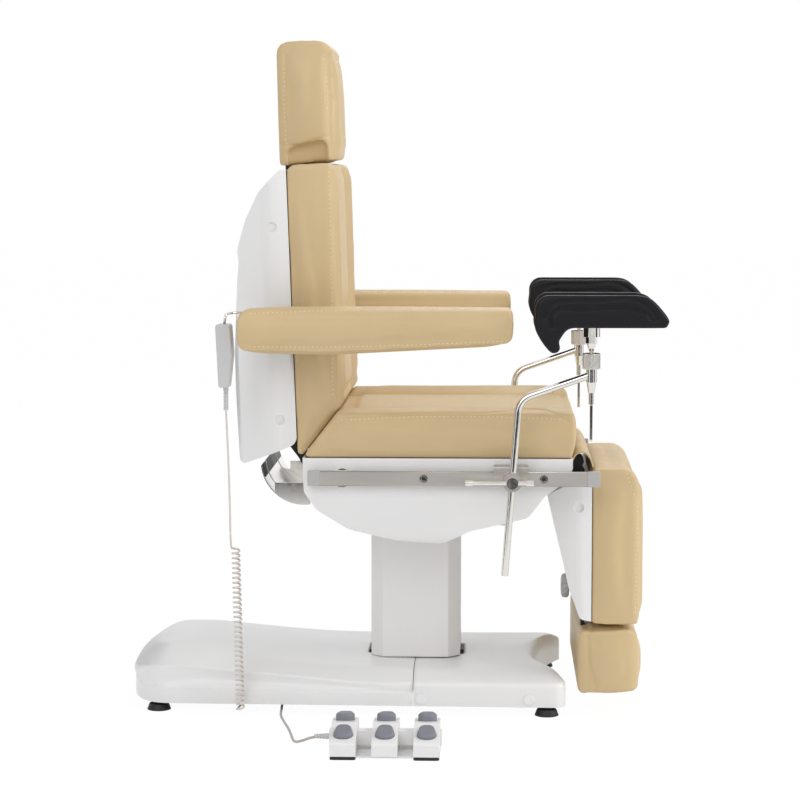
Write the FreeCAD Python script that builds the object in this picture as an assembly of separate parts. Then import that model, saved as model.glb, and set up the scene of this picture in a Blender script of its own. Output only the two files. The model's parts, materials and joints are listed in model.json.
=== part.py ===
import FreeCAD, Part
import math
import os

# Gynecological chair, assembled from separate pieces. Millimetres.
# +X points to the patient's feet, +Y to the patient's left, +Z up.
# The origin is on the floor below the lifting column's axis.
V = FreeCAD.Vector

# Fits
SHAFT_GAP = 0.05
SLIDE_GAP = 0.5
BODY_GAP = 2.0

# Pivots, as X and Z
BACK_PIVOT = (-217.0, 492.0)
LEG_PIVOT = (322.0, 488.0)
ARM_PIVOT = (-190.0, 762.0)
BACK_LEAN = 2.1
PIN_RADIUS = 8.0
KNUCKLE_RADIUS = 14.0
PLATE = 12.0
BACK_ARM_Y = 100.0
LUG_Y = BACK_ARM_Y + PLATE + BODY_GAP

# Base
COVER_BOTTOM = 18.0
COVER_WALL = 4.0
COVER_JOINT_X = 0.0
BASE_REAR = -570.0
BASE_CORNER_X = -548.0
BASE_FRONT = 299.0
BASE_FRONT_HALF = 262.0
BASE_REAR_HALF = 243.0
NOSE_CORNER = 90.0
RIM_TOP = 64.0
DECK_TOP = 84.0
DECK_INSET = 75.0
SHOULDER_PEAK_X = -420.0
SHOULDER_RISE = 28.0
SHOULDER_SLOPE = 0.28
HUMP_TOP = 122.0
FRONT_CORNER = 30.0
FOOT_RADIUS = 24.0
FOOT_HEIGHT = 13.0
STUD_RADIUS = 6.0
FRAME_BOTTOM = 22.0
FRAME_TOP = 58.0
FEET = ((262.0, 245.0), (-505.0, 216.0))
PLUG_X = (16.0, 227.0)
PLUG_Z = 33.0
PLUG_RADIUS = 11.0
INLET_Z = 46.0
INLET_HALF = 27.0
INLET_RISE = 15.0

# Lifting column
SLEEVE_X = 180.0
SLEEVE_Y = 200.0
SLEEVE_CHAMFER = 24.0
SLEEVE_EDGE = 5.0
SLEEVE_BOTTOM = 90.0
SLEEVE_TOP = 400.0
SLEEVE_WALL = 4.0
INNER_X = 150.0
INNER_Y = 170.0
INNER_TOP = 385.0
LIFT_TUBE_RADIUS = 26.0
LIFT_ROD_RADIUS = 14.0

# Foot control
MODULE_WIDTH = 47.0
MODULE_PITCH = 76.0
MODULE_MID_X = -40.0
PEDAL_FRONT = -637.0
PEDAL_REAR = -497.0
PEDAL_MID = (PEDAL_FRONT + PEDAL_REAR) / 2
PEDAL_RIDGE = 54.0
PEDAL_EDGE = 30.0
PEDAL_BACK = 49.0
MAT_THICK = 6.0
PEDAL_PLATE = 3.0
BUTTON_WIDTH = 42.0
BUTTON_LENGTH = 42.0
BUTTON_TIP = 24.0
BUTTON_PROUD_FRONT = 8.0
BUTTON_PROUD_REAR = 14.0
BUTTON_GAP = 0.6
BUTTON_DEEP = 6.0
BUTTON_TRAVEL = 4.0
BAR_BOTTOM = 14.0
BAR_HEIGHT = 28.0
BAR_HALF = 10.0
BAR_OVER = 4.0

# Cords
CORD_RADIUS = 2.0
PEDAL_CORD_RADIUS = 2.5
COIL_RADIUS = 7.0
COIL_TURNS = 33
COIL_FOOT = (-338.0, -266.0, 12.0)
COIL_HEAD = (-342.0, -300.0, 335.0)
GLAND_Y = -140.0
CORD_FLOOR = 6.5
PEDAL_GLAND_X = -262.0

# Seat
DECK = (500.0, 510.0)
SEAT_REAR = -213.0
SEAT_FRONT = 317.0
SEAT_HALF = 291.0
SEAT_SEAM = 596.0
SEAT_CREST = 613.0
SEAT_DIP = 588.0
SEAT_CROWN = 598.0
PAN_HALF = 285.0
PAN_LOW_HALF = 245.0
PAN_WALL = 4.0
DECK_HALF = PAN_HALF - PAN_WALL
COVER_RADIUS = 86.0
COVER_HALF = 190.0
COVER_THICK = 2.5
STAY_THICK = 4.0

# Side rails
RAIL_INNER = 297.0
RAIL_THICK = 9.5
RAIL_HEIGHT = 28.6
RAIL_EDGE = 1.5
RAIL_MID_Z = 473.0
RAIL_ENDS = (-202.0, 361.0)
CAP_LENGTH = 24.0
CAP_PROUD = 0.6
RAIL_BOLTS = (22.0, 253.0)
RAIL_STUD_X = -136.0
SPACER_RADIUS = 10.0
STUD_BLOCK_RADIUS = 19.0
BOLT_HEAD_RADIUS = 8.0
BOLT_RADIUS = 4.0
BOLT_HEAD_THICK = 4.0

# Back
BACK_REAR = -224.5
BACK_BOARD = 10.0
BACK_HALF = 265.0
BACK_TOP = 1078.0
BACK_SEAM = -136.0
BACK_CREST = -127.5
BACK_DIP = -142.0
BACK_CROWN = -134.0
SHELL_HALF = 258.0
SHELL_WALL = 4.0
SHELL_TOP = BACK_TOP - 12
BOARD_HALF = SHELL_HALF - SHELL_WALL
BOARD_REAR = BACK_REAR - BACK_BOARD
BOARD_LOW = 540.0
BRACKET_Y = 268.0
BRACKET_THICK = 8.0
BRACKET_HALF = 26.0
ARM_SHAFT_RADIUS = 10.0

# Headrest
HEAD_HALF = 150.0
HEAD_BOTTOM = BACK_TOP - 4
HEAD_TOP = HEAD_BOTTOM + 244
HEAD_FRONT = -125.0
NECK_HALF = HEAD_HALF - 22
HEAD_PLATE = 6.0
HEAD_PLATE_HALF = 60.0
HEAD_PLATE_FRONT = BOARD_REAR - SLIDE_GAP

# Armrests
ARM_MID_Y = 345.0
ARM_WIDTH = 80.0
ARM_REAR = -331.0
ARM_FRONT = 193.0
HUB_RADIUS = 30.0
STUB_RADIUS = 12.0

# Leg rest and foot extension
LEG_REAR = 348.0
LEG_FRONT = 440.0
LEG_CREST = 446.0
LEG_HALF = 250.0
LEG_TOP = 487.0
LEG_BOTTOM = 179.0
LEG_BOARD = 10.0
LEG_SHELL_HALF = LEG_HALF - 6
LEG_SHELL_LOW = 186.0
FOOT_REAR = 338.0
FOOT_FRONT = 443.0
FOOT_TOP = 172.0
FOOT_BOTTOM = 42.0
FOOT_WRAP = 16.0
FOOT_BAR = 8.0
FOOT_BAR_HALF = 13.0
FOOT_BAR_Y = 160.0
FOOT_BAR_TOP = 436.0
CLAMP_BAR_HALF = 20.0
FOOT_PLATE_HALF = 205.0
FOOT_PLATE_LOW = 60.0
KNOB_Z = 217.0
KNOB_RADIUS = 25.0
KNOB_SHAFT_RADIUS = 5.0
KNOB_FACE = 312.0
KNOB_DEPTH = 17.0
FLAP_HALF = 235.0
FLAP_THICK = 3.0

# Leg holders
CLAMP_X = 190.0
CLAMP_WIDTH = 66.0
CLAMP_OUTER = 324.0
CLAMP_BOTTOM = 463.0
CLAMP_LIP = 3.0
CLAMP_TOP = 500.0
BOSS_RADIUS = 18.0
BOSS_OUTER = 362.0
ROD_Y = 345.0
ROD_RADIUS = 7.0
ROD_LOW = (178.0, 292.0)
ROD_BEND = (204.0, 630.0)
ROD_HIGH = (341.0, 678.0)
SOCKET_BOTTOM = 664.0
COLLAR_RADIUS = 15.5
COLLAR_BOTTOM = 689.0
COLLAR_TOP = 719.0
BALL_RADIUS = 9.0
BALL_Z = 706.0
STIRRUP_PLATE_Z = 770.0
STIRRUP_RIM = 832.0
STIRRUP_REAR = 233.0
STIRRUP_HALF = 69.0
STIRRUP_WALL = 15.0
TBAR_HALF = 61.0
TBAR_SHIFT = -24.0
TBAR_RADIUS = 4.0
LEVER_BOTTOM = 551.0

os.makedirs("parts", exist_ok=True)


def save(name, *shapes):
    """Write one node, of one solid or several."""
    solids = [solid for shape in shapes for solid in shape.Solids]
    whole = solids[0] if len(solids) == 1 else Part.makeCompound(solids)
    if not whole.isValid():
        print("not valid:", name)
    whole.exportStep("parts/%s.step" % name)


def wire(points, place):
    """A closed outline of corners (u, v, radius), put in space by place(u, v)."""
    corners = []
    count = len(points)
    for i, (u, v, radius) in enumerate(points):
        here = V(u, v, 0)
        before = V(points[i - 1][0], points[i - 1][1], 0) - here
        after = V(points[(i + 1) % count][0], points[(i + 1) % count][1], 0) - here
        before.normalize()
        after.normalize()
        if not radius:
            corners.append((here, None, here))
            continue
        half = math.acos(before.dot(after)) / 2
        reach = radius / math.tan(half)
        middle = (before + after).normalize() * (radius / math.sin(half) - radius)
        corners.append((here + before * reach, here + middle, here + after * reach))
    edges = []
    for i, (start, middle, end) in enumerate(corners):
        if middle is not None:
            edges.append(Part.Arc(*[place(p.x, p.y) for p in (start, middle, end)]).toShape())
        following = corners[(i + 1) % count][0]
        if (following - end).Length > 1e-6:
            edges.append(Part.LineSegment(place(end.x, end.y), place(following.x, following.y)).toShape())
    return Part.Wire(edges)


def side_prism(points, y0, y1):
    """An X-Z outline carried from y0 to y1."""
    return Part.Face(wire(points, lambda u, v: V(u, y0, v))).extrude(V(0, y1 - y0, 0))


def plan_prism(points, z0, z1):
    """An X-Y outline carried from z0 to z1."""
    return Part.Face(wire(points, lambda u, v: V(u, v, z0))).extrude(V(0, 0, z1 - z0))


def cross_prism(points, x0, x1):
    """A Y-Z outline carried from x0 to x1."""
    return Part.Face(wire(points, lambda u, v: V(x0, u, v))).extrude(V(x1 - x0, 0, 0))


def box(x0, x1, y0, y1, z0, z1):
    return Part.makeBox(x1 - x0, y1 - y0, z1 - z0, V(x0, y0, z0))


def rod(radius, start, end):
    start, end = V(*start), V(*end)
    return Part.makeCylinder(radius, (end - start).Length, start, end - start)


def cross_rod(radius, pivot, y0, y1):
    """A round bar along Y at a pivot's X and Z."""
    return rod(radius, (pivot[0], y0, pivot[1]), (pivot[0], y1, pivot[1]))


def join(*shapes):
    return shapes[0].multiFuse(list(shapes[1:])).removeSplitter()


def mirrored(shape):
    return shape.mirror(V(0, 0, 0), V(0, 1, 0))


def both(shape):
    """A piece and its mirror image on the other side."""
    return [shape, mirrored(shape)]


def symmetric(points):
    """An outline from its right half, running from the bottom to the top."""
    return points + [(-u, v, r) for u, v, r in reversed(points) if u]


def leaned(shape):
    """A piece of the back, turned to the back's lean at rest."""
    turned = shape.copy()
    turned.rotate(V(BACK_PIVOT[0], 0, BACK_PIVOT[1]), V(0, -1, 0), BACK_LEAN)
    return turned


def upright(pivot):
    """A pivot's X and Z before the back is leaned."""
    angle = math.radians(BACK_LEAN)
    run, rise = pivot[0] - BACK_PIVOT[0], pivot[1] - BACK_PIVOT[1]
    return (BACK_PIVOT[0] + run * math.cos(angle) + rise * math.sin(angle),
            BACK_PIVOT[1] - run * math.sin(angle) + rise * math.cos(angle))


def chamfered_box(length, width, chamfer, z0, z1):
    """An upright bar whose four corners are cut off flat, with their edges rounded."""
    half_l, half_w = length / 2, width / 2
    quarter = [(half_l, half_w - chamfer), (half_l - chamfer, half_w)]
    points = quarter + [(-u, v) for u, v in reversed(quarter)]
    points += [(-u, -v) for u, v in points]
    return plan_prism([(u, v, SLEEVE_EDGE) for u, v in points], z0, z1)


def rounded_box(length, width, corner, z0, z1):
    half_l, half_w = length / 2, width / 2
    points = [(half_l, -half_w, corner), (half_l, half_w, corner)]
    points += [(-half_l, half_w, corner), (-half_l, -half_w, corner)]
    return plan_prism(points, z0, z1)


def path_edges(points, share=0.45):
    """Straight runs joined by tangent arcs, and the arcs' radii."""
    points = [V(*p) for p in points]
    edges, radii = [], []
    start = points[0]
    for before, here, after in zip(points, points[1:], points[2:]):
        back, on = before - here, after - here
        shorter = min(back.Length, on.Length)
        back.normalize()
        on.normalize()
        half = math.acos(max(-1.0, min(1.0, back.dot(on)))) / 2
        reach = share * shorter
        radius = reach * math.tan(half)
        radii.append(radius)
        middle = here + (back + on).normalize() * (radius / math.sin(half) - radius)
        edges.append(Part.LineSegment(start, here + back * reach).toShape())
        edges.append(Part.Arc(here + back * reach, middle, here + on * reach).toShape())
        start = here + on * reach
    edges.append(Part.LineSegment(start, points[-1]).toShape())
    return edges, radii


def tube(edges, radius):
    """A round tube along joined edges."""
    spine = Part.Wire(edges)
    first = edges[0]
    along = first.tangentAt(first.FirstParameter)
    ring = Part.Wire(Part.makeCircle(radius, first.valueAt(first.FirstParameter), along))
    return Part.Solid(spine.makePipeShell([ring], True, False))


def report_tube(name, solid, edges, radius, radii=()):
    """Print how near a tube's volume is to its section times its length."""
    length = sum(edge.Length for edge in edges)
    share = solid.Volume / (math.pi * radius ** 2 * length)
    tight = min(radii) if radii else 0.0
    print("%s: length %.1f, volume share %.4f, least bend radius %.1f" % (name, length, share, tight))


# Base

def base_taper():
    """How much the base's half width grows for each step towards the front."""
    return (BASE_FRONT_HALF - BASE_REAR_HALF) / (BASE_FRONT - BASE_CORNER_X)


def base_half(x, inset=0.0):
    """Half the base's width at an X position, drawn in by inset."""
    return BASE_REAR_HALF + base_taper() * (x - BASE_CORNER_X) - inset


def shoulder_wedge(inset):
    """What slopes the left side down to its rim, which rises towards the rear."""
    low, high = RIM_TOP - 1.3 * inset - 20 * SHOULDER_SLOPE, HUMP_TOP + 60
    edge = base_half(COVER_JOINT_X, inset) + 20
    corners = [V(COVER_JOINT_X + 2, edge, low), V(COVER_JOINT_X + 2, edge, high),
               V(COVER_JOINT_X + 2, edge - (high - low) / SHOULDER_SLOPE, high)]
    face = Part.Face(Part.makePolygon(corners + corners[:1]))
    run = SHOULDER_PEAK_X - COVER_JOINT_X
    along = V(run, base_taper() * run, SHOULDER_RISE)
    rising = face.extrude(along)
    face.translate(along)
    run = BASE_REAR - SHOULDER_PEAK_X
    return join(rising, face.extrude(V(run, base_taper() * run, 0)))


def rear_form(inset):
    """The rear cover's outer form, or its inner one."""
    rear, corner = BASE_REAR + inset, BASE_CORNER_X + inset
    joint, low = (COVER_JOINT_X + 1, COVER_BOTTOM - 1) if inset else (COVER_JOINT_X, COVER_BOTTOM)
    half, joint_half = BASE_REAR_HALF - inset, base_half(joint, inset)
    points = [(joint, -joint_half, 0), (joint, joint_half, 0), (corner, half, NOSE_CORNER),
              (rear, half / 2, 110), (rear, -half / 2, 110), (corner, -half, NOSE_CORNER)]
    plan = plan_prism(points, low, HUMP_TOP + 20)
    deck, crest = DECK_TOP - inset, HUMP_TOP - inset
    # the profile starts a little behind the plan, so that their round faces cross cleanly
    profile = [(rear - 3, low, 0), (rear - 3, crest - 56, 26), (rear + 36, crest - 14, 50),
               (rear + 100, crest, 100), (rear + 180, crest - 3, 200), (rear + 325, crest - 24, 300),
               (SLEEVE_X / -2 - 20, deck, 150), (joint, deck, 0), (joint, low, 0)]
    wedge = shoulder_wedge(inset)
    block = plan.common(side_prism(profile, -BASE_FRONT_HALF, BASE_FRONT_HALF))
    return block.cut(wedge).cut(mirrored(wedge))


def front_form(inset):
    """The front cover's outer form, or its inner one: an upright rim and a sloping shoulder."""
    joint, low = (COVER_JOINT_X - 1, COVER_BOTTOM - 1) if inset else (COVER_JOINT_X, COVER_BOTTOM)

    def ring(drawn, z):
        front = BASE_FRONT - inset - drawn
        points = [(front, -base_half(front, inset + drawn), FRONT_CORNER),
                  (front, base_half(front, inset + drawn), FRONT_CORNER),
                  (joint, base_half(joint, inset + drawn), 0), (joint, -base_half(joint, inset + drawn), 0)]
        return wire(points, lambda u, v: V(u, v, z))

    skirt = Part.Face(ring(0, low)).extrude(V(0, 0, RIM_TOP - low))
    shoulder = Part.makeLoft([ring(0, RIM_TOP), ring(DECK_INSET, DECK_TOP - inset)], True, True)
    return join(skirt, shoulder)


def column_hole():
    return rounded_box(INNER_X + 20, INNER_Y + 20, 20, 0, 200)


def base_cover_rear():
    low, high = INLET_Z - INLET_RISE, INLET_Z + INLET_RISE
    inlet = box(BASE_REAR - 10, BASE_REAR + 40, -INLET_HALF, INLET_HALF, low, high)
    return rear_form(0).cut(rear_form(COVER_WALL)).cut(column_hole()).cut(inlet)


def base_cover_front():
    """Front cover with a concave bay towards the foot rest."""
    def bay(wall):
        mouth, deep = BASE_FRONT - 5 - wall, BASE_FRONT - 105 - wall
        points = [(BASE_FRONT + 60, -190 - wall, 0), (BASE_FRONT + 60, 190 + wall, 0),
                  (mouth, 165 + wall, 30), (deep, 120 + wall / 2, 60),
                  (deep, -120 - wall / 2, 60), (mouth, -165 - wall, 30)]
        return plan_prism(points, 0, HUMP_TOP + 20)

    inner = front_form(COVER_WALL).cut(bay(COVER_WALL))
    return front_form(0).cut(inner).cut(bay(0)).cut(column_hole())


def cover_plugs():
    """Round plugs on the front cover's rims."""
    discs = []
    slope = math.degrees(math.atan(base_taper()))
    for x in PLUG_X:
        half = base_half(x)
        disc = rod(PLUG_RADIUS, (x, -half, PLUG_Z), (x, -half - 3, PLUG_Z))
        disc.rotate(V(x, -half, PLUG_Z), V(0, 0, 1), -slope)
        discs += both(disc)
    return discs


def base_frame():
    """Welded floor frame, with posts that carry the covers and glands for the cords."""
    spine = join(box(-520, 170, -125, -65, FRAME_BOTTOM, FRAME_TOP),
                 box(-520, 170, 65, 125, FRAME_BOTTOM, FRAME_TOP),
                 box(-100, 100, -125, 125, FRAME_BOTTOM, FRAME_TOP),
                 box(-518, -490, -226, 226, FRAME_BOTTOM, 40))
    legs = []
    for side in (-1, 1):
        points = [(120, 65 * side, 0), (275, 228 * side, 0), (275, 253 * side, 0), (245, 253 * side, 0),
                  (80, 110 * side, 0), (80, 65 * side, 0)]
        legs.append(plan_prism(points if side > 0 else points[::-1], FRAME_BOTTOM, 44))
    posts = [box(-60, 60, y, y + 20, FRAME_TOP, DECK_TOP - COVER_WALL) for y in (-125, 105)]
    bracket = box(-365, -235, GLAND_Y, -100, FRAME_BOTTOM, 28)
    glands = [box(x - 9, x + 9, GLAND_Y, GLAND_Y + 22, 3, FRAME_BOTTOM)
              for x in (COIL_FOOT[0] - COIL_RADIUS, PEDAL_GLAND_X)]
    frame = join(spine, *legs, *posts, bracket, *glands)
    for x, y in FEET:
        for side in (-1, 1):
            frame = frame.cut(rod(STUD_RADIUS, (x, y * side, 0), (x, y * side, 60)))
    return frame


def levelling_feet():
    feet = []
    for x, y in FEET:
        for side in (-1, 1):
            pad = Part.makeCone(FOOT_RADIUS, FOOT_RADIUS - 5, FOOT_HEIGHT, V(x, y * side, 0))
            collar = rod(10, (x, y * side, FOOT_HEIGHT), (x, y * side, FRAME_BOTTOM))
            stud = rod(STUD_RADIUS, (x, y * side, FRAME_BOTTOM), (x, y * side, 40))
            feet.append(join(pad, collar, stud))
    return feet


def inner_column():
    outer = chamfered_box(INNER_X, INNER_Y, SLEEVE_CHAMFER - 4, FRAME_TOP, INNER_TOP)
    return outer.cut(chamfered_box(INNER_X - 10, INNER_Y - 10, SLEEVE_CHAMFER - 7, FRAME_TOP, INNER_TOP))


def lift_actuator():
    motor = box(-60, -LIFT_TUBE_RADIUS + 6, -35, 35, FRAME_TOP, FRAME_TOP + 90)
    body = rod(LIFT_TUBE_RADIUS, (0, 0, FRAME_TOP), (0, 0, 370))
    bore = rod(LIFT_ROD_RADIUS + SHAFT_GAP, (0, 0, FRAME_TOP + 12), (0, 0, 370))
    return join(motor, body).cut(bore)


def lift_rod():
    return rod(LIFT_ROD_RADIUS, (0, 0, FRAME_TOP + 20), (0, 0, SLEEVE_TOP))


def mains_inlet():
    """Three-pin inlet in the rear cover's end wall."""
    half, rise = INLET_HALF - SLIDE_GAP, INLET_RISE - SLIDE_GAP
    flange = box(BASE_REAR - 3, BASE_REAR, -half - 4, half + 4, INLET_Z - rise - 4, INLET_Z + rise + 4)
    body = box(BASE_REAR, BASE_REAR + 28, -half, half, INLET_Z - rise, INLET_Z + rise)
    well = box(BASE_REAR - 3, BASE_REAR + 20, -12, 12, INLET_Z - 8, INLET_Z + 8)
    pins = [box(BASE_REAR + 6, BASE_REAR + 22, y - 1, y + 1, INLET_Z - 2, INLET_Z + 2) for y in (-6, 0, 6)]
    return join(join(flange, body).cut(well), *pins)


# Foot control

def slope_point(side):
    """The middle of a module's front (-1) or rear (1) slope, and its outward normal."""
    run = (PEDAL_REAR - PEDAL_FRONT) / 2
    rise = PEDAL_RIDGE - (PEDAL_EDGE if side < 0 else PEDAL_BACK)
    normal = V(0, side * rise, run)
    normal.normalize()
    return V(0, PEDAL_MID + side * run / 2, PEDAL_RIDGE - rise / 2), normal


def on_slope(shape, x, side):
    """A piece made about the origin and facing up, set on a slope."""
    middle, normal = slope_point(side)
    turned = shape.copy()
    turned.rotate(V(0, 0, 0), V(1, 0, 0), -side * math.degrees(math.acos(normal.z)))
    turned.translate(V(x, middle.y, middle.z))
    return turned


def module_x():
    return [MODULE_MID_X + MODULE_PITCH * n for n in (-1, 0, 1)]


def button_prism(grow, z0, z1):
    """A button's rounded outline, narrower away from the user."""
    half, tip, length = BUTTON_WIDTH / 2 + grow, BUTTON_TIP / 2 + grow, BUTTON_LENGTH / 2 + grow
    points = [(half, -length, 15 + grow), (tip, length, 11 + grow),
              (-tip, length, 11 + grow), (-half, -length, 15 + grow)]
    return plan_prism(points, z0, z1)


def bar_channel(x0, x1):
    return box(x0, x1, PEDAL_MID - BAR_HALF, PEDAL_MID + BAR_HALF, BAR_BOTTOM, BAR_BOTTOM + BAR_HEIGHT)


def pedal_modules():
    """Wedge-shaped housings with a well for each button, threaded on the bar."""
    points = [(PEDAL_FRONT, MAT_THICK, 0), (PEDAL_FRONT, PEDAL_EDGE, 6), (PEDAL_MID, PEDAL_RIDGE + 1, 25),
              (PEDAL_REAR, PEDAL_BACK, 6), (PEDAL_REAR, MAT_THICK, 0)]
    modules = []
    for x in module_x():
        body = cross_prism(points, x - MODULE_WIDTH / 2, x + MODULE_WIDTH / 2)
        for side in (-1, 1):
            well = button_prism(BUTTON_GAP, -BUTTON_DEEP - BUTTON_TRAVEL - BUTTON_GAP, PEDAL_RIDGE)
            body = body.cut(on_slope(well, x, side))
        modules.append(body.cut(bar_channel(x - MODULE_WIDTH, x + MODULE_WIDTH)))
    return modules


def bar_ends():
    xs = module_x()
    return xs[0] - MODULE_WIDTH / 2 - BAR_OVER, xs[2] + MODULE_WIDTH / 2 + BAR_OVER


def pedal_bar():
    """Bar through the modules, and the floor plate below them."""
    x0, x1 = bar_ends()
    plate = box(x0 + BAR_OVER, x1 - BAR_OVER, PEDAL_FRONT + 4, PEDAL_REAR - 4,
                MAT_THICK - PEDAL_PLATE, MAT_THICK)
    return [bar_channel(x0, x1), plate]


def pedal_mats():
    """Rubber pads round the floor plate's ends, below the outer modules."""
    xs = module_x()
    plate = pedal_bar()[1]
    mats = []
    for x in (xs[0], xs[2]):
        left, right = x - MODULE_WIDTH / 2, x + MODULE_WIDTH / 2
        points = [(right, PEDAL_FRONT, 6), (right, PEDAL_REAR, 6),
                  (left, PEDAL_REAR, 6), (left, PEDAL_FRONT, 6)]
        mats.append(plan_prism(points, 0, MAT_THICK).cut(plate))
    return mats


def pedal_button(x, side):
    proud = BUTTON_PROUD_FRONT if side < 0 else BUTTON_PROUD_REAR
    stem = button_prism(0, -BUTTON_DEEP, proud)
    top = [edge for edge in stem.Edges if edge.BoundBox.ZMin > proud - 0.1]
    return on_slope(stem.makeFillet(5, top), x, side)


# Cords

def arc_through(start, along, end):
    """The arc that leaves start along a direction and ends at end."""
    chord = end - start
    straight = chord * (1 / chord.Length)
    bulge = along - straight * along.dot(straight)
    angle = math.acos(max(-1.0, min(1.0, along.dot(straight))))
    middle = (start + end) * 0.5 + bulge.normalize() * (chord.Length / 2 * math.tan(angle / 2))
    return Part.Arc(start, middle, end).toShape()


def biarc(start, along, end, onward):
    """Two tangent arcs between two points with given directions."""
    gap, both_ways = end - start, along + onward
    spread = 2 * (1 - along.dot(onward))
    ahead = gap.dot(both_ways)
    reach = (-ahead + math.sqrt(ahead ** 2 + spread * gap.dot(gap))) / spread
    meet = (start + end + (along - onward) * reach) * 0.5
    first = arc_through(start, along, meet)
    turned = arc_through(end, onward * -1, meet)
    second = Part.Arc(meet, turned.valueAt((turned.FirstParameter + turned.LastParameter) / 2), end)
    return [first, second.toShape()]


def coil_frame():
    """The coil's foot, its unit axis, and two directions across it."""
    foot = V(*COIL_FOOT)
    axis = V(*COIL_HEAD) - foot
    length = axis.Length
    axis.normalize()
    out = V(1, 0, 0) - axis * axis.x
    out.normalize()
    return foot, axis, out, axis.cross(out), length


def coil_state(turn):
    """The point and direction of the coil after a number of turns."""
    foot, axis, out, over, length = coil_frame()
    angle = math.pi + 2 * math.pi * turn
    rise = length / COIL_TURNS
    point = foot + axis * (rise * turn)
    point = point + out * (COIL_RADIUS * math.cos(angle)) + over * (COIL_RADIUS * math.sin(angle))
    along = out * (-2 * math.pi * COIL_RADIUS * math.sin(angle))
    along = along + over * (2 * math.pi * COIL_RADIUS * math.cos(angle)) + axis * rise
    return point, along.normalize()


def handset_coil():
    """The curled part of the handset's cord, and its tail below the base."""
    first, along = coil_state(0)
    run = (first.z - CORD_FLOOR) / along.z
    low = first - along * run
    tail = [(low.x, GLAND_Y, CORD_FLOOR), (low.x + 3, (GLAND_Y + low.y) / 2, CORD_FLOOR - 1)]
    edges, radii = path_edges(tail + [tuple(low), tuple(first)])
    for half in range(2 * COIL_TURNS):
        start, leaving = coil_state(half / 2)
        end, arriving = coil_state((half + 1) / 2)
        edges += biarc(start, leaving, end, arriving)
    last, onward = coil_state(COIL_TURNS)
    edges.append(Part.LineSegment(last, last + onward * (2 * CORD_RADIUS)).toShape())
    solid = tube(edges, CORD_RADIUS)
    report_tube("handset_coil", solid, edges, CORD_RADIUS, radii)
    length = coil_frame()[4]
    print("handset_coil: gap between turns %.2f" % (length / COIL_TURNS - 2 * CORD_RADIUS))
    return solid


def handset_lead():
    """The straight part of the handset's cord."""
    last, onward = coil_state(COIL_TURNS)
    start = last + onward * (2 * CORD_RADIUS)
    turn = start + onward * 26
    edges, radii = path_edges([tuple(start), tuple(turn), (-350.0, -330.0, 470.0), (-356.0, -330.0, 606.0)])
    solid = tube(edges, CORD_RADIUS)
    report_tube("handset_lead", solid, edges, CORD_RADIUS, radii)
    return solid


def pedal_cord():
    """The foot control's cord, from its bar to below the base."""
    start = (bar_ends()[0], PEDAL_MID, BAR_BOTTOM + BAR_HEIGHT / 2)
    points = [start, (start[0] - 28.0, PEDAL_MID, start[2]), (-198.0, -560.0, 16.0), (-213.0, -522.0, 6.0),
              (-222.0, -460.0, 3.0), (-232.0, -400.0, 3.0), (-246.0, -340.0, 3.2), (-258.0, -285.0, 4.0),
              (PEDAL_GLAND_X + 2, -232.0, 4.6), (PEDAL_GLAND_X - 1, -186.0, 5.6),
              (PEDAL_GLAND_X, GLAND_Y, CORD_FLOOR)]
    edges, radii = path_edges(points)
    solid = tube(edges, PEDAL_CORD_RADIUS)
    report_tube("pedal_cord", solid, edges, PEDAL_CORD_RADIUS, radii)
    return solid


# Seat

def pad_section(half, base, seam, crest, dip, crown, toward=1):
    """Half outline of a cushion with raised side rolls, as (across, thick, radius)."""
    out = [(half - 7, base, 6), (half, (base + seam) / 2, 150), (half - 5, seam, 12),
           (half - 38, crest, 40), (half - 104, dip, 14), (half - 116, dip + 3 * toward, 6),
           (0, crown, 900)]
    return symmetric(out)


def column_sleeve():
    outer = chamfered_box(SLEEVE_X, SLEEVE_Y, SLEEVE_CHAMFER, SLEEVE_BOTTOM, SLEEVE_TOP)
    inner = chamfered_box(SLEEVE_X - 2 * SLEEVE_WALL, SLEEVE_Y - 2 * SLEEVE_WALL,
                          SLEEVE_CHAMFER - SLEEVE_WALL / 2, SLEEVE_BOTTOM, SLEEVE_TOP)
    return outer.cut(inner)


def pivot_lug(pivot, y0, y1):
    return cross_rod(KNUCKLE_RADIUS, pivot, y0, y1)


def hinge_arm(profile, pivot):
    """A flat arm of the back or the leg rest, with its knuckle bored for the pin."""
    ends = (BACK_ARM_Y, BACK_ARM_Y + PLATE)
    arm = join(side_prism(profile, *ends), pivot_lug(pivot, *ends))
    return arm.cut(cross_rod(PIN_RADIUS + SHAFT_GAP, pivot, *ends))


def seat_frame():
    """Side plates with the hinge lugs and pins, the column's head plate and the seat deck."""
    head = box(-95, 95, -LUG_Y - PLATE, LUG_Y + PLATE, SLEEVE_TOP, SLEEVE_TOP + 12)
    profile = [(BACK_PIVOT[0] + 12, 480, 0), (-120, 440, 20), (-95, SLEEVE_TOP, 0), (95, SLEEVE_TOP, 0),
               (150, 440, 20), (LEG_PIVOT[0] - 12, 476, 0), (LEG_PIVOT[0] - 8, DECK[0], 0),
               (BACK_PIVOT[0] + 12, DECK[0], 0)]
    plate = side_prism(profile, LUG_Y, LUG_Y + PLATE)
    lugs = [pivot_lug(p, LUG_Y, LUG_Y + PLATE) for p in (BACK_PIVOT, LEG_PIVOT)]
    pins = [cross_rod(PIN_RADIUS, p, BACK_ARM_Y - 3, LUG_Y) for p in (BACK_PIVOT, LEG_PIVOT)]
    side = join(plate, *lugs, *pins)
    deck = box(-196, 300, -DECK_HALF, DECK_HALF, *DECK)
    return join(head, deck, *both(side))


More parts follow.
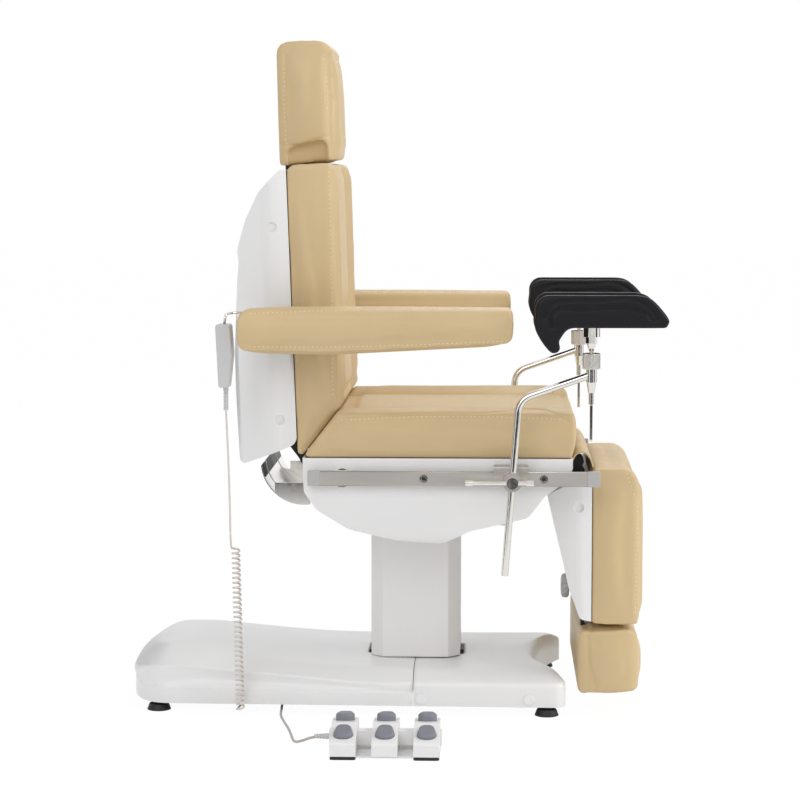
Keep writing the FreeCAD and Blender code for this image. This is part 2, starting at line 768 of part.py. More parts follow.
PAN_PROFILE = [(-213, DECK[1], 0), (-211, 444, 20), (-187, 407, 30), (-125, 367, 60), (-26, 343, 90),
               (56, 337, 40), (110, 364, 60), (223, 392, 25), (256, 437, 25), (288, 460, 20),
               (309, 490, 6), (309, DECK[1], 0)]


def pan_form(wall):
    """The seat pan's outer form, or its inner one, drawn in by wall."""
    profile = []
    for x, z, radius in PAN_PROFILE:
        closer = -wall if x > 45 else wall
        profile.append((x + closer, z + wall, radius))
    half, low = PAN_HALF - wall, PAN_LOW_HALF - wall
    section = symmetric([(low, 330 + wall, 45), (half, 440, 60), (half, DECK[1] + wall, 0)])
    return side_prism(profile, -PAN_HALF, PAN_HALF).common(cross_prism(section, -230, 330))


def seat_pan():
    shell = pan_form(0).cut(pan_form(PAN_WALL))
    column = chamfered_box(SLEEVE_X + 6, SLEEVE_Y + 6, SLEEVE_CHAMFER + 2, 320, 480)
    rear_bay = box(-230, -180, -COVER_HALF - 6, COVER_HALF + 6, 380, DECK[1])
    front_bay = box(250, 330, -135, 135, 400, DECK[1])
    return shell.cut(column).cut(rear_bay).cut(front_bay)


def seat_cushion():
    section = pad_section(SEAT_HALF, DECK[1], SEAT_SEAM, SEAT_CREST, SEAT_DIP, SEAT_CROWN)
    top = SEAT_CREST + 0.5
    profile = [(SEAT_REAR, DECK[1], 4), (SEAT_REAR + 80, top, 34), (SEAT_FRONT - 2, top, 34),
               (SEAT_FRONT, 550, 60), (SEAT_FRONT - 8, DECK[1], 6)]
    return cross_prism(section, -260, 340).common(side_prism(profile, -300, 300))


def quarter(radius, y0, y1):
    return cross_rod(radius, BACK_PIVOT, y0, y1)


def rear_hinge_cover():
    """Polished quarter-round cover about the back's pivot, slotted for the hinge arms, on two stays."""
    x, z = BACK_PIVOT
    reach = COVER_RADIUS + 10
    inner = COVER_RADIUS - COVER_THICK
    ring = quarter(COVER_RADIUS, -COVER_HALF, COVER_HALF).cut(quarter(inner, -COVER_HALF, COVER_HALF))
    band = ring.common(box(x - reach, x + 12, -COVER_HALF, COVER_HALF, z - reach, z - 8))
    slot = box(x - reach, x - 30, BACK_ARM_Y - BODY_GAP, BACK_ARM_Y + PLATE + BODY_GAP, z - 70, z)
    corner = box(x - 58, x + 12, 0, COVER_HALF, z - reach, z - 42)
    cheek = quarter(COVER_RADIUS, COVER_HALF - 3, COVER_HALF).common(corner)
    tie = box(x + 4, x + 12, -COVER_HALF, COVER_HALF, z - 85, z - 60)
    points = [(x + 4, z - 80, 0), (x + 12, z - 80, 0), (-130, 450, 6), (-130, 478, 6), (-157, 478, 6),
              (x + 4, z - 50, 6)]
    stay = side_prism(points, LUG_Y + PLATE, LUG_Y + PLATE + STAY_THICK)
    return join(band, tie, *both(cheek), *both(stay)).cut(slot).cut(mirrored(slot))


def drive_motors():
    """Gear motors of the back and the leg rest, on the seat's side plates."""
    x, z = BACK_PIVOT
    rear = join(box(x + 22, -130, -LUG_Y, LUG_Y - 60, 462, DECK[0]),
                rod(24, (x + 46, LUG_Y - 60, 476), (x + 46, LUG_Y, 476)))
    front = join(box(200, 280, -LUG_Y + 60, LUG_Y, 462, DECK[0]),
                 rod(24, (238, -LUG_Y, 476), (238, -LUG_Y + 60, 476)))
    return [rear.common(box(-400, 400, -200, 200, 400, DECK[0])),
            front.common(box(-400, 400, -200, 200, 400, DECK[0]))]


def knee_flap():
    """A soft strip that arches over the gap at the knees."""
    rear, front, low, high = PAN_PROFILE[-1][0] + 0.5, LEG_REAR + 5, DECK[0], DECK[1] + 11
    outer = [V(rear, 0, low), V(332, 0, high), V(front, 0, LEG_TOP + 2)]
    inner = [V(front - FLAP_THICK, 0, LEG_TOP + 1), V(332, 0, high - FLAP_THICK),
             V(rear + FLAP_THICK, 0, low)]
    edges = [Part.Arc(*outer).toShape(), Part.LineSegment(outer[2], inner[0]).toShape(),
             Part.Arc(*inner).toShape(), Part.LineSegment(inner[2], outer[0]).toShape()]
    sheet = Part.Face(Part.Wire(edges)).extrude(V(0, 2 * FLAP_HALF, 0))
    sheet.translate(V(0, -FLAP_HALF, 0))
    return sheet.cut(seat_cushion()).cut(seat_pan())


# Side rails

def rail_bar(x0, x1, grow=0.0):
    inner, outer = RAIL_INNER - grow, RAIL_INNER + RAIL_THICK + grow
    low, high = RAIL_MID_Z - RAIL_HEIGHT / 2 - grow, RAIL_MID_Z + RAIL_HEIGHT / 2 + grow
    corners = [(inner, low), (outer, low), (outer, high), (inner, high)]
    section = [(y, z, RAIL_EDGE) for y, z in corners]
    return cross_prism(section, x0, x1)


def side_rail():
    bar = rail_bar(RAIL_ENDS[0] + CAP_LENGTH, RAIL_ENDS[1] - CAP_LENGTH)
    outer = RAIL_INNER + RAIL_THICK
    for x in RAIL_BOLTS:
        spot = (x, RAIL_MID_Z)
        bar = bar.cut(cross_rod(BOLT_RADIUS + 0.25, spot, RAIL_INNER, outer))
        bar = bar.cut(cross_rod(BOLT_HEAD_RADIUS + 0.5, spot, outer - BOLT_HEAD_THICK, outer))
    return bar


def rail_caps():
    rear, front = RAIL_ENDS
    return [rail_bar(rear, rear + CAP_LENGTH, CAP_PROUD), rail_bar(front - CAP_LENGTH, front, CAP_PROUD)]


def rail_fixings():
    """A spacer with its socket screw at each fixing point, and a round block at the rear one."""
    pieces = []
    outer = RAIL_INNER + RAIL_THICK
    for x in RAIL_BOLTS:
        spot = (x, RAIL_MID_Z)
        spacer = cross_rod(SPACER_RADIUS, spot, PAN_HALF, RAIL_INNER)
        shank = cross_rod(BOLT_RADIUS, spot, RAIL_INNER, outer - BOLT_HEAD_THICK)
        head = cross_rod(BOLT_HEAD_RADIUS, spot, outer - BOLT_HEAD_THICK, outer - 0.3)
        key = cross_rod(4, spot, outer - 2.5, outer)
        pieces.append(join(spacer, shank, head).cut(key))
    pieces.append(cross_rod(STUD_BLOCK_RADIUS, (RAIL_STUD_X, RAIL_MID_Z), PAN_HALF, RAIL_INNER))
    return pieces


# Back, drawn upright and then leaned

def back_frame():
    """Board with uprights, hinge arms, the headrest's guide and the armrests' shafts."""
    x, z = BACK_PIVOT
    rear = BOARD_REAR
    board = box(rear, BACK_REAR, -BOARD_HALF, BOARD_HALF, BOARD_LOW, SHELL_TOP - SHELL_WALL)
    arm_profile = [(rear - 26, 530, 0), (x - 10, z - 10, 0), (x + 5, z - 5, 0), (rear, 530, 0), (rear, 760, 0),
                   (rear - 26, 700, 0)]
    arm = hinge_arm(arm_profile, BACK_PIVOT)
    guide_in = HEAD_PLATE_HALF + SLIDE_GAP
    low, high = BACK_TOP - 178, BACK_TOP - 38
    guide = box(rear - HEAD_PLATE - 6, rear, guide_in, guide_in + 12, low, high)
    lip = box(rear - HEAD_PLATE - 6, rear - HEAD_PLATE - 2 * SLIDE_GAP, guide_in - 10, guide_in, low, high)
    arm_pivot = upright(ARM_PIVOT)
    px, pz = arm_pivot
    half = BRACKET_HALF
    tab = box(rear, BACK_REAR, BOARD_HALF - 5, BRACKET_Y + BRACKET_THICK, pz - half, pz + half)
    cheek = join(box(rear, px, BRACKET_Y, BRACKET_Y + BRACKET_THICK, pz - half, pz + half),
                 cross_rod(half, arm_pivot, BRACKET_Y, BRACKET_Y + BRACKET_THICK))
    shaft = cross_rod(ARM_SHAFT_RADIUS, arm_pivot, BRACKET_Y, ARM_MID_Y - ARM_WIDTH / 2 - 8)
    return leaned(join(board, *both(arm), *both(join(guide, lip)), *both(join(tab, cheek, shaft))))


def back_cushion():
    section = pad_section(BACK_HALF, BACK_REAR, BACK_SEAM, BACK_CREST, BACK_DIP, BACK_CROWN)
    face = Part.Face(wire(section, lambda u, v: V(v, u, 480)))
    block = face.extrude(V(0, 0, 640))
    profile = [(BACK_REAR, 513, 5), (-215, 513, 3),
               (BACK_CREST + 0.5, 618, 40), (BACK_CREST + 0.5, BACK_TOP, 24),
               (BACK_REAR, BACK_TOP - 3, 16)]
    return leaned(block.common(side_prism(profile, -300, 300)))


SHELL_PROFILE = [(-238, SHELL_TOP, 8), (-282, SHELL_TOP - 42, 60), (-312, SHELL_TOP - 95, 120),
                 (-332, SHELL_TOP - 152, 30), (-330, SHELL_TOP - 180, 12), (-334, SHELL_TOP - 206, 30),
                 (-348, 708, 300), (-350, 634, 300), (-346, 488, 10)]


def shell_form(wall):
    profile = [(x + wall, z - 0.6 * wall, radius) for x, z, radius in SHELL_PROFILE]
    below = -60 if wall else 0
    ahead = 10 if wall else 0
    last = profile[-1]
    profile[-1] = (last[0], last[1] + below, 0 if wall else 10)
    front = BACK_REAR + ahead
    profile += [(front, 535 + below, 0 if wall else 20), (front, SHELL_PROFILE[0][1] - 0.6 * wall, 0)]
    half = SHELL_HALF - wall
    section = symmetric([(half, front, 0), (half, BOARD_REAR - 30, 60), (170 - wall, -352 + wall, 90)])
    face = Part.Face(wire(section, lambda u, v: V(v, u, 400)))
    return side_prism(profile, -300, 300).common(face.extrude(V(0, 0, 700)))


def back_shell():
    shell = shell_form(0).cut(shell_form(SHELL_WALL))
    half = HEAD_PLATE_HALF + 1
    slot = box(HEAD_PLATE_FRONT - HEAD_PLATE - 1, BOARD_REAR, -half, half, BACK_TOP - 78, BACK_TOP + 22)
    pz = upright(ARM_PIVOT)[1]
    reach = BRACKET_HALF + SLIDE_GAP
    notch = box(BOARD_REAR - SLIDE_GAP, BACK_REAR, BOARD_HALF, BRACKET_Y, pz - reach, pz + reach)
    return leaned(shell.cut(slot).cut(notch).cut(mirrored(notch)))


HOOK_RADIUS = 2.5
HOOK_PATH = [(-262, -256, 792), (-300, -283, 792), (-345, -300, 792), (-356, -330, 790), (-358, -331, 772)]


def handset_hook():
    edges, radii = path_edges(HOOK_PATH)
    return tube(edges, HOOK_RADIUS).cut(back_shell()).cut(handset())


def handset():
    """A slim hand control with its ribbed cord sleeve."""
    profile = [(-368, 651, 5), (-348, 651, 4), (-341, 715, 40), (-345, 772, 5), (-374, 772, 5)]
    body = side_prism(profile, -354, -306)
    edges = [edge for edge in body.Edges if abs(edge.BoundBox.YMax - edge.BoundBox.YMin) < 0.01]
    body = body.makeFillet(4, edges)
    sleeve = rod(5, (-356, -330, 607), (-356, -330, 655))
    for n in range(6):
        low = 610 + 6 * n
        ring = rod(6, (-356, -330, low), (-356, -330, low + 3))
        groove = ring.cut(rod(4, (-356, -330, low), (-356, -330, low + 3)))
        sleeve = sleeve.cut(groove)
    return join(body, sleeve)


# Headrest

def head_plate():
    return box(HEAD_PLATE_FRONT - HEAD_PLATE, HEAD_PLATE_FRONT, -HEAD_PLATE_HALF, HEAD_PLATE_HALF,
               HEAD_BOTTOM - 164, HEAD_BOTTOM + 176)


def headrest_cushion():
    """Head pad with a set-back neck on each side."""
    rear, low = HEAD_PLATE_FRONT - HEAD_PLATE - 6, HEAD_BOTTOM
    profile = [(rear, low, 6), (HEAD_FRONT - 4, low + 9, 9), (HEAD_FRONT + 1, low + 66, 80),
               (HEAD_FRONT - 2, low + 176, 60), (HEAD_FRONT - 24, HEAD_TOP, 28), (rear + 3, HEAD_TOP, 26)]
    half = HEAD_HALF
    section = symmetric([(half - 14, rear, 14), (half, -190, 150), (half - 6, HEAD_FRONT - 22, 22),
                         (half - 60, HEAD_FRONT - 4, 60), (0, HEAD_FRONT, 900)])
    face = Part.Face(wire(section, lambda u, v: V(v, u, low - 30)))
    block = face.extrude(V(0, 0, HEAD_TOP - low + 60)).common(side_prism(profile, -2 * half, 2 * half))
    points = [(-228, low - 20, 0), (-152, low - 20, 0), (-152, low + 50, 12), (-228, low + 34, 12)]
    recess = side_prism(points, NECK_HALF, 2 * half)
    return leaned(block.cut(recess).cut(mirrored(recess)).cut(head_plate()))


# Armrests

def arm_hub():
    gap = BODY_GAP / 2
    inner = BRACKET_Y + BRACKET_THICK + gap
    face = ARM_MID_Y - ARM_WIDTH / 2
    disc = cross_rod(HUB_RADIUS, ARM_PIVOT, inner, face - gap)
    stub = cross_rod(STUB_RADIUS, ARM_PIVOT, face - gap, face + 18)
    bore = cross_rod(ARM_SHAFT_RADIUS + SHAFT_GAP, ARM_PIVOT, inner, face - 8 + gap)
    return join(disc, stub).cut(bore)


def arm_pad():
    half = ARM_WIDTH / 2
    section = symmetric([(half - 4, 700, 12), (half, 762, 200), (half - 4, 797, 18), (0, 812, 60)])
    face = Part.Face(wire(section, lambda u, v: V(-400, ARM_MID_Y + u, v)))
    block = face.extrude(V(700, 0, 0))
    profile = [(ARM_REAR, 722, 22), (-150, 719, 200), (ARM_FRONT, 738, 18), (ARM_FRONT + 1, 811, 22),
               (-200, 808, 300), (ARM_REAR, 803, 26)]
    pad = block.common(side_prism(profile, ARM_MID_Y - 60, ARM_MID_Y + 60))
    face_y = ARM_MID_Y - half
    return pad.cut(cross_rod(STUB_RADIUS + SHAFT_GAP, ARM_PIVOT, face_y - 5, face_y + 18.5))


# Leg rest and foot extension

def leg_frame():
    """Board with hinge arms and the foot bars' guides."""
    x, z = LEG_PIVOT
    rear = LEG_REAR - LEG_BOARD
    half = LEG_SHELL_HALF - SHELL_WALL
    board = box(rear, LEG_REAR, -half, half, LEG_SHELL_LOW + 2 * SHELL_WALL, 454)
    arm_profile = [(rear - 24, 380, 0), (rear, 380, 0), (rear, 470, 0), (x + 10, z - 8, 0), (x - 9, z - 9, 0),
                   (rear - 24, 430, 0)]
    arm = hinge_arm(arm_profile, LEG_PIVOT)
    reach = FOOT_BAR_HALF + SLIDE_GAP
    depth = FOOT_BAR + 2 * SLIDE_GAP
    outer = box(rear - depth - 4, rear, FOOT_BAR_Y - reach - 4, FOOT_BAR_Y + reach + 4, 214, 330)
    inner = box(rear - depth, rear, FOOT_BAR_Y - reach, FOOT_BAR_Y + reach, 200, 330)
    return join(board, *both(arm), *both(outer.cut(inner)))


def leg_shell_form(wall):
    front = LEG_REAR + 2 * wall
    low = LEG_SHELL_LOW + wall
    profile = [(front, 462 - wall, 0), (302, 453 - wall, 10), (262 + wall, 428 - 0.6 * wall, 10),
               (272 + wall, 385, 60), (294 + wall, 295, 200), (303 + wall, 253, 60),
               (326 + wall, low + 4, 12), (front, low, 0)]
    half = LEG_SHELL_HALF - wall
    bend = LEG_REAR - LEG_BOARD - 14
    section = symmetric([(half, front, 0), (half, bend, 30), (half - 66, 250 + wall, 40)])
    face = Part.Face(wire(section, lambda u, v: V(v, u, 150)))
    return side_prism(profile, -300, 300).common(face.extrude(V(0, 0, 400)))


def leg_shell():
    shell = leg_shell_form(0).cut(leg_shell_form(SHELL_WALL))
    behind, ahead = 280, LEG_REAR - LEG_BOARD
    slots = [box(behind, ahead, y - 1, y + PLATE + 1, 425, 480) for y in (BACK_ARM_Y, -BACK_ARM_Y - PLATE)]
    slots += [box(behind, ahead, y - 1, y + PLATE + 1, 440, 480) for y in (LUG_Y, -LUG_Y - PLATE)]
    slots += [rod(KNOB_RADIUS + BODY_GAP, (behind, 0, KNOB_Z), (KNOB_FACE + BODY_GAP, 0, KNOB_Z)),
              rod(KNOB_SHAFT_RADIUS + 1, (behind, 0, KNOB_Z), (ahead, 0, KNOB_Z))]
    wide, narrow = FOOT_BAR_HALF + 8, CLAMP_BAR_HALF + 4
    for y, half in ((-FOOT_BAR_Y, wide), (0, narrow), (FOOT_BAR_Y, wide)):
        slots.append(box(320, ahead, y - half, y + half, 180, 206))
    for slot in slots:
        shell = shell.cut(slot)
    return shell


def leg_cushion():
    section = pad_section(LEG_HALF, LEG_REAR, LEG_FRONT, LEG_CREST, LEG_FRONT - 10, LEG_FRONT - 2)
    face = Part.Face(wire(section, lambda u, v: V(v, u, 150)))
    block = face.extrude(V(0, 0, 400))
    front = LEG_CREST + 0.5
    profile = [(LEG_REAR, LEG_BOTTOM, 8), (front - 3, LEG_BOTTOM, 10), (front, 330, 500),
               (front - 6, LEG_TOP, 36), (LEG_REAR, LEG_TOP, 10)]
    return block.common(side_prism(profile, -300, 300))


def foot_slide():
    """Plate inside the foot pad, with two guide bars and the bar that the knob clamps."""
    front = FOOT_REAR - SLIDE_GAP
    rear = front - FOOT_BAR
    plate = box(rear, front, -FOOT_PLATE_HALF, FOOT_PLATE_HALF, FOOT_PLATE_LOW, FOOT_TOP - 12)
    bars = [box(rear, front, y - FOOT_BAR_HALF, y + FOOT_BAR_HALF, FOOT_PLATE_LOW, FOOT_BAR_TOP)
            for y in (-FOOT_BAR_Y, FOOT_BAR_Y)]
    middle = box(rear, front, -CLAMP_BAR_HALF, CLAMP_BAR_HALF, FOOT_PLATE_LOW, FOOT_BAR_TOP)
    return join(plate, *bars, middle)


def foot_cushion():
    """Foot pad, upholstered all round its plate."""
    rear = FOOT_REAR - FOOT_WRAP
    profile = [(rear, FOOT_BOTTOM, 12), (FOOT_FRONT, FOOT_BOTTOM + 4, 14), (FOOT_FRONT + 2, 110, 200),
               (FOOT_FRONT - 4, FOOT_TOP, 22), (rear, FOOT_TOP - 6, 12)]
    section = symmetric([(LEG_HALF - 8, rear, 12), (LEG_HALF, 390, 150), (LEG_HALF - 8, FOOT_FRONT, 26),
                         (0, FOOT_FRONT + 6, 1500)])
    face = Part.Face(wire(section, lambda u, v: V(v, u, 20)))
    return face.extrude(V(0, 0, 200)).common(side_prism(profile, -300, 300)).cut(foot_slide())


def foot_knob():
    """Ribbed knob that clamps the foot extension's middle bar."""
    grip = rod(KNOB_RADIUS, (KNOB_FACE - KNOB_DEPTH, 0, KNOB_Z), (KNOB_FACE, 0, KNOB_Z))
    for n in range(12):
        angle = 2 * math.pi * n / 12
        y, z = (KNOB_RADIUS + 1) * math.cos(angle), KNOB_Z + (KNOB_RADIUS + 1) * math.sin(angle)
        grip = grip.cut(rod(3, (KNOB_FACE - KNOB_DEPTH, y, z), (KNOB_FACE, y, z)))
    tip = FOOT_REAR - SLIDE_GAP - FOOT_BAR - 0.4
    shaft = rod(KNOB_SHAFT_RADIUS, (KNOB_FACE, 0, KNOB_Z), (tip, 0, KNOB_Z))
    return join(grip, shaft)


# Leg holders, drawn on the +Y side

def rod_direction():
    run, rise = ROD_BEND[0] - ROD_LOW[0], ROD_BEND[1] - ROD_LOW[1]
    length = math.hypot(run, rise)
    return run / length, rise / length


def rod_x(z):
    """The X of the rod's straight part at a height."""
    run, rise = rod_direction()
    return ROD_LOW[0] + (z - ROD_LOW[1]) * run / rise


def rail_clamp():
    """Hooked over the rail, with a lip behind it and a bored boss for the rod."""
    slot, jaw = 0.3, 5.0
    inner, outer = RAIL_INNER - slot, RAIL_INNER + RAIL_THICK + slot
    high = RAIL_MID_Z + RAIL_HEIGHT / 2 + slot
    section = [(inner - jaw, high - CLAMP_LIP, 1), (inner, high - CLAMP_LIP, 0),
               (inner, high, 0), (outer, high, 0),
               (outer, CLAMP_BOTTOM, 0), (CLAMP_OUTER, CLAMP_BOTTOM, 4), (CLAMP_OUTER, CLAMP_TOP, 4),
               (inner - jaw, CLAMP_TOP, 2)]
    block = cross_prism(section, CLAMP_X - CLAMP_WIDTH / 2, CLAMP_X + CLAMP_WIDTH / 2)
    centre = (rod_x(RAIL_MID_Z), RAIL_MID_Z)
    boss = cross_rod(BOSS_RADIUS, centre, CLAMP_OUTER, BOSS_OUTER)
    run, rise = rod_direction()
    bore = rod(ROD_RADIUS + SHAFT_GAP, (centre[0] - 60 * run, ROD_Y, centre[1] - 60 * rise),
               (centre[0] + 60 * run, ROD_Y, centre[1] + 60 * rise))
    return join(block, boss).cut(bore)


def clamp_screw():
    centre = (rod_x(RAIL_MID_Z), RAIL_MID_Z)
    hub = cross_rod(11, centre, BOSS_OUTER + 0.4, BOSS_OUTER + 16)
    y = BOSS_OUTER + 9
    x0, x1 = centre[0] + TBAR_SHIFT - TBAR_HALF, centre[0] + TBAR_SHIFT + TBAR_HALF
    bar = rod(TBAR_RADIUS, (x0, y, centre[1]), (x1, y, centre[1]))
    ends = [rod(6, (x - 7, y, centre[1]), (x + 7, y, centre[1])) for x in (x0 + 3, x1 - 3)]
    return join(hub, bar, *ends)


def stirrup_rod():
    """Bent rod with the ball's socket and knurled collar."""
    points = [(x, ROD_Y, z) for x, z in (ROD_LOW, ROD_BEND, ROD_HIGH)]
    edges, radii = path_edges(points, 0.17)
    bar = tube(edges, ROD_RADIUS)
    x = ROD_HIGH[0]
    socket = rod(10, (x, ROD_Y, SOCKET_BOTTOM), (x, ROD_Y, COLLAR_BOTTOM))
    collar = rod(COLLAR_RADIUS, (x, ROD_Y, COLLAR_BOTTOM), (x, ROD_Y, COLLAR_TOP))
    for n in range(18):
        angle = 2 * math.pi * n / 18
        gx, gy = x + (COLLAR_RADIUS + 0.6) * math.cos(angle), ROD_Y + (COLLAR_RADIUS + 0.6) * math.sin(angle)
        collar = collar.cut(rod(1.4, (gx, gy, COLLAR_BOTTOM + 4), (gx, gy, COLLAR_TOP - 4)))
    hollow = Part.makeSphere(BALL_RADIUS + 0.4, V(x, ROD_Y, BALL_Z))
    mouth = Part.makeCone(6, 14, COLLAR_TOP - BALL_Z + 1, V(x, ROD_Y, BALL_Z))
    return join(bar, socket, collar).cut(hollow).cut(mouth)


def ball_lever():
    """Locking lever that hangs below the socket."""
    x = ROD_HIGH[0]
    hub = Part.makeCone(6, 9, 20, V(x, ROD_Y, SOCKET_BOTTOM - 20.4))
    neck = rod(5, (x, ROD_Y, 622), (x, ROD_Y, SOCKET_BOTTOM - 20.4))
    points = [(ROD_Y - 5, LEVER_BOTTOM, 4), (ROD_Y + 5, LEVER_BOTTOM, 4),
              (ROD_Y + 7, 622, 2), (ROD_Y - 7, 622, 2)]
    blade = cross_prism(points, x - 2.5, x + 2.5)
    return join(hub, neck, blade)


def stirrup_stem():
    """Ball, neck and the nuts under the pad."""
    x = ROD_HIGH[0]
    ball = Part.makeSphere(BALL_RADIUS, V(x, ROD_Y, BALL_Z))
    neck = rod(4.5, (x, ROD_Y, BALL_Z), (x, ROD_Y, 728))
    cone = Part.makeCone(5, 10, 14, V(x, ROD_Y, 724))
    turns = [math.pi * n / 3 for n in range(6)]
    corners = [(x + 11 * math.cos(turn), ROD_Y + 11 * math.sin(turn), 0) for turn in turns]
    nut = plan_prism(corners, 738, 750)
    flange = rod(16, (x, ROD_Y, 750), (x, ROD_Y, STIRRUP_PLATE_Z))
    return join(ball, neck, cone, nut, flange)


def stirrup_pad():
    """Knee trough: a padded saddle whose rear end rolls down into a lip."""
    rear, low = STIRRUP_REAR, STIRRUP_PLATE_Z
    outline = [(rear, STIRRUP_RIM, 26), (rear + 205, STIRRUP_RIM, 45), (rear + 252, low + 13, 8),
               (rear + 245, low, 7), (rear + 61, low, 22), (rear + 44, low - 25, 12), (rear + 50, low - 46, 10),
               (rear + 29, low - 48, 10), (rear, low + 5, 50)]
    form = side_prism(outline, ROD_Y - STIRRUP_HALF, ROD_Y + STIRRUP_HALF)
    rims = [edge for edge in form.Edges if edge.BoundBox.YLength < 0.01]
    form = form.makeFillet(6, rims)
    floor, over = low + STIRRUP_WALL, STIRRUP_RIM + 68
    inner = STIRRUP_HALF - STIRRUP_WALL
    hollow = [(rear + 287, floor, 0), (rear + 287, over, 0), (rear - 33, over, 0), (rear - 33, low - 70, 0),
              (rear - 5, low - 70, 0), (rear + 49, floor, 36)]
    trough = side_prism(hollow, ROD_Y - inner, ROD_Y + inner)
    sides = [edge for edge in trough.Edges if edge.BoundBox.YLength < 0.01 and edge.BoundBox.XMin > rear - 8
             and edge.BoundBox.ZMax < floor + 1]
    return form.cut(trough.makeFillet(26, sides))


def build():
    save("base_frame", base_frame())
    save("base_cover_rear", base_cover_rear())
    save("base_cover_front", base_cover_front())
    save("cover_plugs", *cover_plugs())
    save("levelling_feet", *levelling_feet())
    save("inner_column", inner_column())
    save("lift_actuator", lift_actuator())
    save("lift_rod", lift_rod())
    save("mains_inlet", mains_inlet())
    save("pedal_mat", *pedal_mats())
    save("pedal_bar", *pedal_bar())
    save("pedal_modules", *pedal_modules())
    for n, x in enumerate(module_x()):
        save("pedal_button_%d" % (2 * n + 1), pedal_button(x, -1))
        save("pedal_button_%d" % (2 * n + 2), pedal_button(x, 1))
    save("pedal_cord", pedal_cord())
    save("handset_coil", handset_coil())
    save("handset_lead", handset_lead())
    save("column_sleeve", column_sleeve())
    save("seat_frame", seat_frame())
    save("seat_pan", seat_pan())
    save("seat_cushion", seat_cushion())
    save("rear_hinge_cover", rear_hinge_cover())
    save("drive_motors", *drive_motors())
    save("knee_flap", knee_flap())
    save("side_rails", *both(side_rail()))
    save("rail_end_caps", *[piece for cap in rail_caps() for piece in both(cap)])
    save("rail_fixings", *[piece for fixing in rail_fixings() for piece in both(fixing)])
    save("back_frame", back_frame())
    save("back_cushion", back_cushion())
    save("back_shell", back_shell())
    save("handset_hook", handset_hook())
    save("handset", handset())
    save("headrest_plate", leaned(head_plate()))
    save("headrest_cushion", headrest_cushion())
    save("leg_frame", leg_frame())
    save("leg_shell", leg_shell())
    save("leg_cushion", leg_cushion())
    save("foot_slide", foot_slide())
    save("foot_cushion", foot_cushion())
    save("foot_knob", foot_knob())
    makers = {"arm_hub": arm_hub, "armrest": arm_pad, "rail_clamp": rail_clamp, "clamp_screw": clamp_screw,
              "stirrup_rod": stirrup_rod, "ball_lever": ball_lever, "stirrup_stem": stirrup_stem,
              "stirrup_pad": stirrup_pad}
    for name, make in makers.items():
        piece = make()
        save("left_" + name, piece)
        save("right_" + name, mirrored(piece))


build()
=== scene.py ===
import json
import math

import bpy
import numpy as np
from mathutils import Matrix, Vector
from mathutils.bvhtree import BVHTree
from mathutils.kdtree import KDTree

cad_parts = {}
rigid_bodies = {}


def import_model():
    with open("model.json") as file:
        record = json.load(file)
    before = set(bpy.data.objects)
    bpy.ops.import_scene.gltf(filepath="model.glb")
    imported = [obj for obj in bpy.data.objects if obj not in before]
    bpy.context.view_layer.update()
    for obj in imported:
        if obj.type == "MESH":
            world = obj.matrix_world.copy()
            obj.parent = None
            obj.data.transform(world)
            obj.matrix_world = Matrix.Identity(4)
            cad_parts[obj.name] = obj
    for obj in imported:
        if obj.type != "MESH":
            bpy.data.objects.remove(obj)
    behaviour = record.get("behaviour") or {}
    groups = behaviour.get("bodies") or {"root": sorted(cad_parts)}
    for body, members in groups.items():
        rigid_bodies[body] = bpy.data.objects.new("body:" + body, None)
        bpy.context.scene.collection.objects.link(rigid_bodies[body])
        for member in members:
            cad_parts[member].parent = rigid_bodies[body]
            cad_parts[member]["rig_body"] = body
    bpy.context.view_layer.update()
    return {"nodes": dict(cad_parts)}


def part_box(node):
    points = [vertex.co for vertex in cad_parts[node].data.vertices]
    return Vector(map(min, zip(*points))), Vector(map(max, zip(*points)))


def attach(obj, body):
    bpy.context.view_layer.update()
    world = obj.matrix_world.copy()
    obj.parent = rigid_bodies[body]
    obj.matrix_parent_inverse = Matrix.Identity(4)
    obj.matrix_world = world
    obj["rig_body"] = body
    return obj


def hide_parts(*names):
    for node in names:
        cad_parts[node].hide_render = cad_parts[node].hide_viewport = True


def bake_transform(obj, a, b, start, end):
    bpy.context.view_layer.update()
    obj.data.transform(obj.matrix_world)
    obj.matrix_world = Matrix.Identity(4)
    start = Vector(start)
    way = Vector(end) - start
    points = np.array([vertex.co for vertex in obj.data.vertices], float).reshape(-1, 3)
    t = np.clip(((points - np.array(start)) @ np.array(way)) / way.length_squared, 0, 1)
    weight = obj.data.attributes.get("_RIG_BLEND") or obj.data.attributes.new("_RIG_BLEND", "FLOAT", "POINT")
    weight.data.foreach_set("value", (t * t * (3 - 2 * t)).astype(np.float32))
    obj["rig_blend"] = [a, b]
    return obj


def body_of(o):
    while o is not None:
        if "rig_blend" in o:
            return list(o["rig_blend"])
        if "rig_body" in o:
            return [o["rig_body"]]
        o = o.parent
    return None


# Gynecological chair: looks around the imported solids. Metres, in the part's own frame:
# +X to the patient's feet, +Y to the patient's left, +Z up, the floor at 0.

# Camera
CAMERA_PLACE = (0.1524, -5.072, 1.0575)
CAMERA_YAW = 0.0369
CAMERA_PITCH = 0.0904
CAMERA_LENS = 112.31
SENSOR = 36.0

